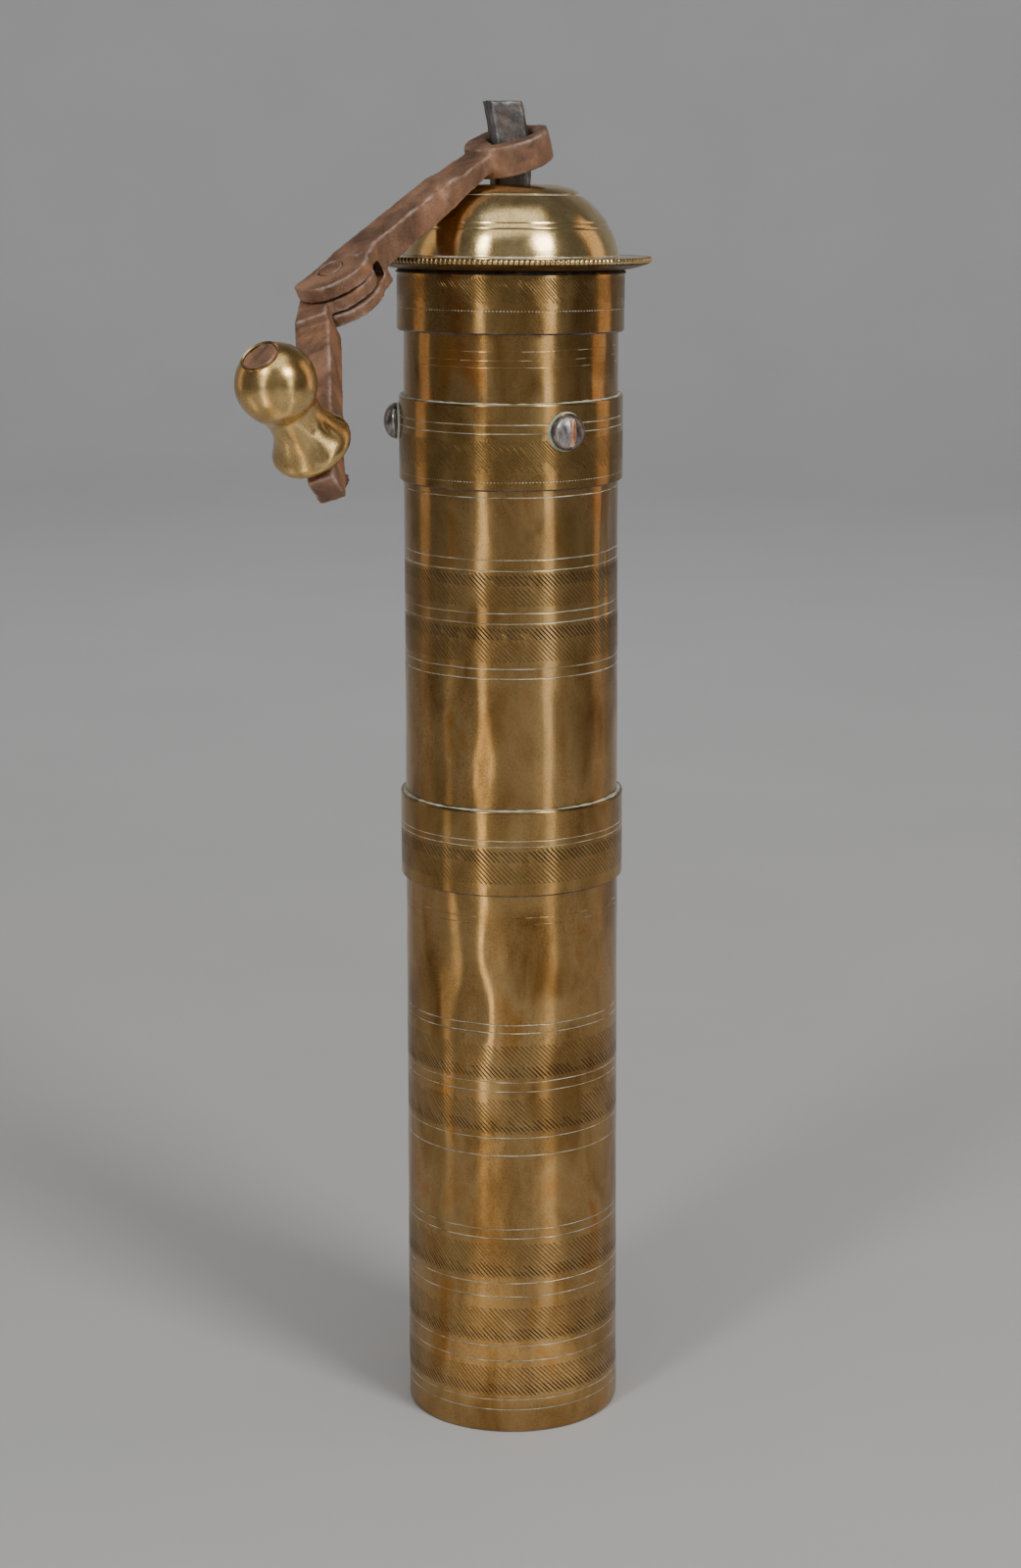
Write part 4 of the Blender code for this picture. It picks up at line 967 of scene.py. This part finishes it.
def solid(name, sides, radius, height, place):
    """A prism or disc about the origin's Z, moved to its place, to join to a piece or cut from it."""
    grown = bmesh.new()
    bmesh.ops.create_cone(
        grown, cap_ends=True, segments=sides, radius1=radius, radius2=radius, depth=height, matrix=place
    )
    mesh = bpy.data.meshes.new(name)
    grown.to_mesh(mesh)
    grown.free()
    return new_object(name, mesh)


def combine(obj, other, operation):
    """Joins another solid to a piece or cuts it away, and removes it."""
    modifier = obj.modifiers.new(operation.title(), "BOOLEAN")
    modifier.operation = operation
    modifier.object = other
    apply_modifiers(obj)
    bpy.data.objects.remove(other, do_unlink=True)


def square_the_eye(arm, turn):
    """The eye's hole is a worn square, a loose fit on the spindle."""
    middle = Matrix.Translation((EYE_OUT, 0.0, EYE_HEIGHT))
    plug = turn @ middle @ Matrix.Rotation(EYE_TILT, 4, "Y")
    combine(arm, solid("eye_plug", 32, EYE_PLUG_RADIUS, EYE_PLUG_HEIGHT, plug), "UNION")
    corner = Matrix.Rotation(SPINDLE_TURN + math.radians(45), 4, "Z")
    lift = Matrix.Translation((0.0, 0.0, EYE_HEIGHT))
    hole = solid("eye_square", 4, EYE_SQUARE / math.sqrt(2), 40 * MM, lift @ corner)
    combine(arm, hole, "DIFFERENCE")


def round_off(obj, middle, reach, rounds):
    """Rounds a forged piece's corners near a place."""
    shape = bmesh.new()
    shape.from_mesh(obj.data)
    near = [vertex for vertex in shape.verts if (vertex.co - middle).length < reach]
    for _ in range(rounds):
        bmesh.ops.smooth_vert(
            shape, verts=near, factor=0.5, use_axis_x=True, use_axis_y=True, use_axis_z=True
        )
    shape.to_mesh(obj.data)
    shape.free()


def nick(obj, middle, along, outward, reach, depth):
    """Pushes a small hollow into the edge that stands out the most beside a place."""
    beside = [v.co for v in obj.data.vertices if abs((v.co - middle).dot(along)) < 1.0 * MM]
    place = max(beside, key=lambda co: co.dot(outward)).copy()
    inward = -outward.normalized()
    for vertex in obj.data.vertices:
        share = (vertex.co - place).length / reach
        vertex.co += inward * depth * math.exp(-share * share)


def make_inner_arm():
    """The inner arm with its eye, which keeps sharp edges along it with a few nicks in one."""
    turn = Matrix.Rotation(CRANK_AZIMUTH, 4, "Z")
    arm = node_copy("crank_inner_arm_forged", "crank_inner_arm", LOOKS["crank"])
    square_the_eye(arm, turn)
    direction = (turn.to_3x3() @ Vector((1.0, 0.0, -ARM_DROP))).normalized()
    chamfer_long_edges(arm, direction, 6 * MM, 1.1 * MM)
    forge(arm, 0.42 * MM, 0.28 * MM, 3.0)
    round_off(arm, turn @ Vector((EYE_OUT, 0.0, EYE_HEIGHT)), 14 * MM, 10)
    round_off(arm, turn @ Vector((-EYE_PLUG_RADIUS, 0.0, EYE_HEIGHT)), 6.5 * MM, 45)
    across = Vector((0.0, 0.0, 1.0)).cross(direction).normalized()
    if across.y > 0.0:
        across = -across
    above = across.cross(direction)
    above = above if above.z > 0.0 else -above
    eye = Vector((0.0, 0.0, EYE_HEIGHT))
    for share, reach, depth in ARM_NICKS:
        middle = eye.lerp(Vector(JOINTS["crank_fold"]["pos_m"]), share)
        nick(arm, middle, direction, across + above, reach, depth)
    piece(arm, "crank", "crank_iron", "crank_inner_arm")


def make_hinge_pin():
    """The hinge's pin, whose ends were hammered a little wider."""
    pin = node_copy("crank_hinge_pin_forged", "crank_hinge_pin", LOOKS["crank"])
    hinge = joint_frame("crank_fold")
    spread = Matrix.Diagonal((PIN_SPREAD, PIN_SPREAD, 1.0, 1.0))
    pin.data.transform(hinge @ spread @ hinge.inverted())
    forge(pin, 0.3 * MM, 0.12 * MM, 9.0, 2)
    piece(pin, "crank", "pin_iron", "crank_hinge_pin")


def make_outer_arm():
    arm = node_copy("crank_outer_arm_forged", "crank_outer_arm", LOOKS["crank"])
    direction = Vector(JOINTS["knob_spin"]["pos_m"]) - Vector(JOINTS["crank_fold"]["pos_m"])
    chamfer_long_edges(arm, direction, 15 * MM, 1.5 * MM)
    forge(arm, 0.42 * MM, 0.26 * MM, 5.0)
    piece(arm, "outer_arm", "crank_iron", "crank_outer_arm")


def make_knob_rivet():
    rivet = node_copy("knob_rivet_forged", "knob_rivet", LOOKS["crank"])
    forge(rivet, 0.32 * MM, 0.55 * MM, 7.0, 2)
    piece(rivet, "outer_arm", "pin_iron", "knob_rivet")


def make_knob():
    """The cast knob about its own axis, with its skin worn and gouged, but not its bore."""
    outline = list(KNOB_BELL)
    start, end = KNOB_BALL_ANGLES
    for i in range(27):
        angle = math.radians(start + (end - start) * i / 26)
        height = KNOB_BALL_HEIGHT + KNOB_BALL_RADIUS * math.sin(angle)
        outline.append((KNOB_BALL_RADIUS * math.cos(angle), height))
    skin = len(outline) * KNOB_COLUMNS
    outline += KNOB_BORE
    profile = [(radius * MM, height * MM) for radius, height in outline]
    knob = turned("knob_cast", profile, KNOB_COLUMNS, LOOKS["knob"])
    for vertex in knob.data.vertices[:skin]:
        azimuth = math.atan2(vertex.co.y, vertex.co.x)
        radius = math.hypot(vertex.co.x, vertex.co.y)
        cut = KNOB_WEAR * (1 + noise.noise(vertex.co / (6 * MM)))
        for where, height, across, up, depth in KNOB_GOUGES:
            apart = (azimuth - where + math.pi) % (2 * math.pi) - math.pi
            u = apart * radius / MM / across
            v = (vertex.co.z / MM - height) / up
            cut += depth * MM * math.exp(-(u * u + v * v))
        vertex.co.x *= (radius - cut) / radius
        vertex.co.y *= (radius - cut) / radius
    knob.data.transform(joint_frame("knob_spin"))
    piece(knob, "knob", "knob_brass", "knob")


def make_spindle():
    """The whole spindle, filed by hand, whose square leans a little at its top."""
    body = node_copy("spindle_bar", "spindle", LOOKS["bar"])
    bevel_edges(body, 0.35 * MM, 30)
    forge(body, 0.42 * MM, 0.16 * MM, 2.0, 2)
    normals = [vertex.normal.copy() for vertex in body.data.vertices]
    for vertex, normal in zip(body.data.vertices, normals):
        above = (vertex.co.z - SPINDLE_BEND_START) / (SPINDLE_TOP - SPINDLE_BEND_START)
        if above > 0.0:
            lump = noise.noise(vertex.co / (2.2 * MM))
            vertex.co += normal * SPINDLE_LUMPS * min(1.0, above * 2) * (lump - 0.5)
            vertex.co.x -= SPINDLE_BEND * above * above
            vertex.co.z = min(vertex.co.z, SPINDLE_TOP - 0.01 * MM)
    piece(body, "spindle", "spindle_iron", "spindle")


def finish_plain_nodes():
    """Pieces inside the mill keep their plain solids and get their metals."""
    looks = {
        "inside": ("cup_base",),
        "forged": ("top_spider", "bottom_bridge", "spindle_collar"),
        "burr": ("inner_burr", "outer_burr"),
        "bar": ("collar_pin", "burr_pin"),
        "knob": ("adjusting_screw",),
        "steel": ("thrust_ball", "bridge_screw_left", "bridge_screw_right"),
    }
    for look, nodes in looks.items():
        for node in nodes:
            materials = NODES[node].data.materials
            materials.clear()
            materials.append(LOOKS[look])


# Stage


def make_floor():
    """A plain pale floor that rises all round into a wall, with no edge or corner to be seen."""
    profile = [(MM, 0.0)]
    for i in range(1, 9):
        profile.append((FLOOR_RADIUS * i / 8, 0.0))
    for i in range(1, 13):
        angle = math.radians(90 * i / 12)
        out = FLOOR_RADIUS + FLOOR_RISE * math.sin(angle)
        profile.append((out, FLOOR_RISE * (1.0 - math.cos(angle))))
    profile.append((FLOOR_RADIUS + FLOOR_RISE, WALL_HEIGHT))
    inwards = -np.arange(FLOOR_COLUMNS) * 2 * math.pi / FLOOR_COLUMNS
    points = np.stack([ring_points(inwards, radius, height) for radius, height in profile])
    mesh = grid_mesh("floor", points, np.zeros(points.shape[:2]), closed_rows=False)
    material = bpy.data.materials.new("pale_floor")
    material.use_nodes = True
    tree = material.node_tree
    shader = tree.nodes["Principled BSDF"]
    shader.inputs["Roughness"].default_value = 0.9
    tones = [(0.3, (0.50, 0.50, 0.50)), (0.7, (0.52, 0.52, 0.52))]
    link(tree, ramp_node(tree, noise_node(tree, 0.12), tones), shader.inputs["Base Color"])
    new_object("floor", mesh, material)


def area_light(name, size, power, colour, place, rotation):
    data = bpy.data.lights.new(name, "AREA")
    data.shape = "RECTANGLE"
    data.size, data.size_y = size
    data.energy = power
    data.color = colour
    light = new_object(name, data)
    light.location = place
    light.rotation_euler = rotation
    light.visible_camera = False


def soft_light(
    name, azimuth_degrees, distance, height, size, power, aim=(0.0, 0.0, 0.16), colour=WHITE
):
    place = from_front(azimuth_degrees, distance, height)
    rotation = (Vector(aim) - place).to_track_quat("-Z", "Y").to_euler()
    area_light(name, size, power, colour, place, rotation)


def floor_light(name, azimuth_degrees, near, far, width, radiance):
    """A warm strip light that lies on the floor and points away from the mill, facing up."""
    size = (width, far - near)
    power = radiance * math.pi * width * (far - near)
    place = from_front(azimuth_degrees, (near + far) / 2, FLOOR_LIGHT_HEIGHT)
    rotation = (math.pi, 0.0, math.radians(azimuth_degrees))
    area_light(name, size, power, FLOOR_GLOW, place, rotation)


def make_lights():
    soft_light("key", 40, 1.0, 0.95, (0.34, 0.34), 6.5)
    soft_light("left_key", -33, 0.9, 0.88, (0.14, 0.30), 2.0)
    soft_light("overhead", 10, 0.45, 1.35, (1.1, 0.9), 4.0)
    soft_light("left_strip", -31, 0.80, 0.56, (0.12, 0.80), 0.90)
    soft_light("left_low_strip", -31, 0.80, 0.08, (0.12, 0.16), 0.09)
    soft_light("right_strip", 40, 0.85, 0.51, (0.16, 0.70), 0.90)
    soft_light("right_low_strip", 40, 0.85, 0.08, (0.16, 0.16), 0.09)
    soft_light("right_edge", 108, 0.70, 0.42, (0.28, 0.70), 0.50, colour=WARM)
    soft_light("left_edge", -104, 0.70, 0.42, (0.22, 0.70), 0.28, colour=WARM)
    floor_light("left_floor_strip", -30, 0.30, 0.80, 0.060, 3.0)
    floor_light("far_left_floor_strip", -70, 0.26, 0.60, 0.060, 1.0)
    floor_light("right_floor_strip", 42, 0.30, 0.80, 0.060, 0.9)
    floor_light("foot_glow", -22, 0.04, 0.30, 0.080, 0.55)
    floor_light("right_foot_glow", 38, 0.04, 0.30, 0.050, 0.45)
    soft_light("wall_wash", 180, 0.7, 1.35, (1.6, 0.5), 11, aim=(0.0, 2.3, 0.3))
    soft_light("front_wash", 0, 0.9, 1.45, (1.6, 0.5), 8.5, aim=(0.0, -2.35, 0.45))


def make_world():
    world = bpy.data.worlds.new("studio")
    bpy.context.scene.world = world
    world.use_nodes = True
    background = world.node_tree.nodes["Background"]
    background.inputs["Color"].default_value = WORLD_COLOUR
    background.inputs["Strength"].default_value = WORLD_STRENGTH


def make_camera():
    data = bpy.data.cameras.new("camera")
    data.sensor_fit = "VERTICAL"
    data.sensor_height = 36.0
    data.lens = CAMERA_LENS
    data.clip_start = 0.02
    camera = new_object("camera", data)
    pitch = Matrix.Rotation(CAMERA_PITCH, 4, "X")
    roll = Matrix.Rotation(CAMERA_ROLL, 4, "Z")
    camera.matrix_world = Matrix.Translation(CAMERA_PLACE) @ pitch @ roll
    bpy.context.scene.camera = camera


LOOKS = make_materials()
make_camera()
make_cup()
make_upper_tube()
make_band("mid_band", "mill", MID_BAND_LINES, MID_BAND_HATCHES, 41)
make_band(
    "screw_band", "mill", SCREW_BAND_LINES, SCREW_BAND_HATCHES, 43, FINE_STROKES, SCREW_BAND_DOTTED_LINES
)
make_lid()
make_skirt()
make_spider_screws()
make_inner_arm()
make_hinge_pin()
make_outer_arm()
make_knob_rivet()
make_knob()
make_spindle()
finish_plain_nodes()
make_floor()
make_lights()
make_world()
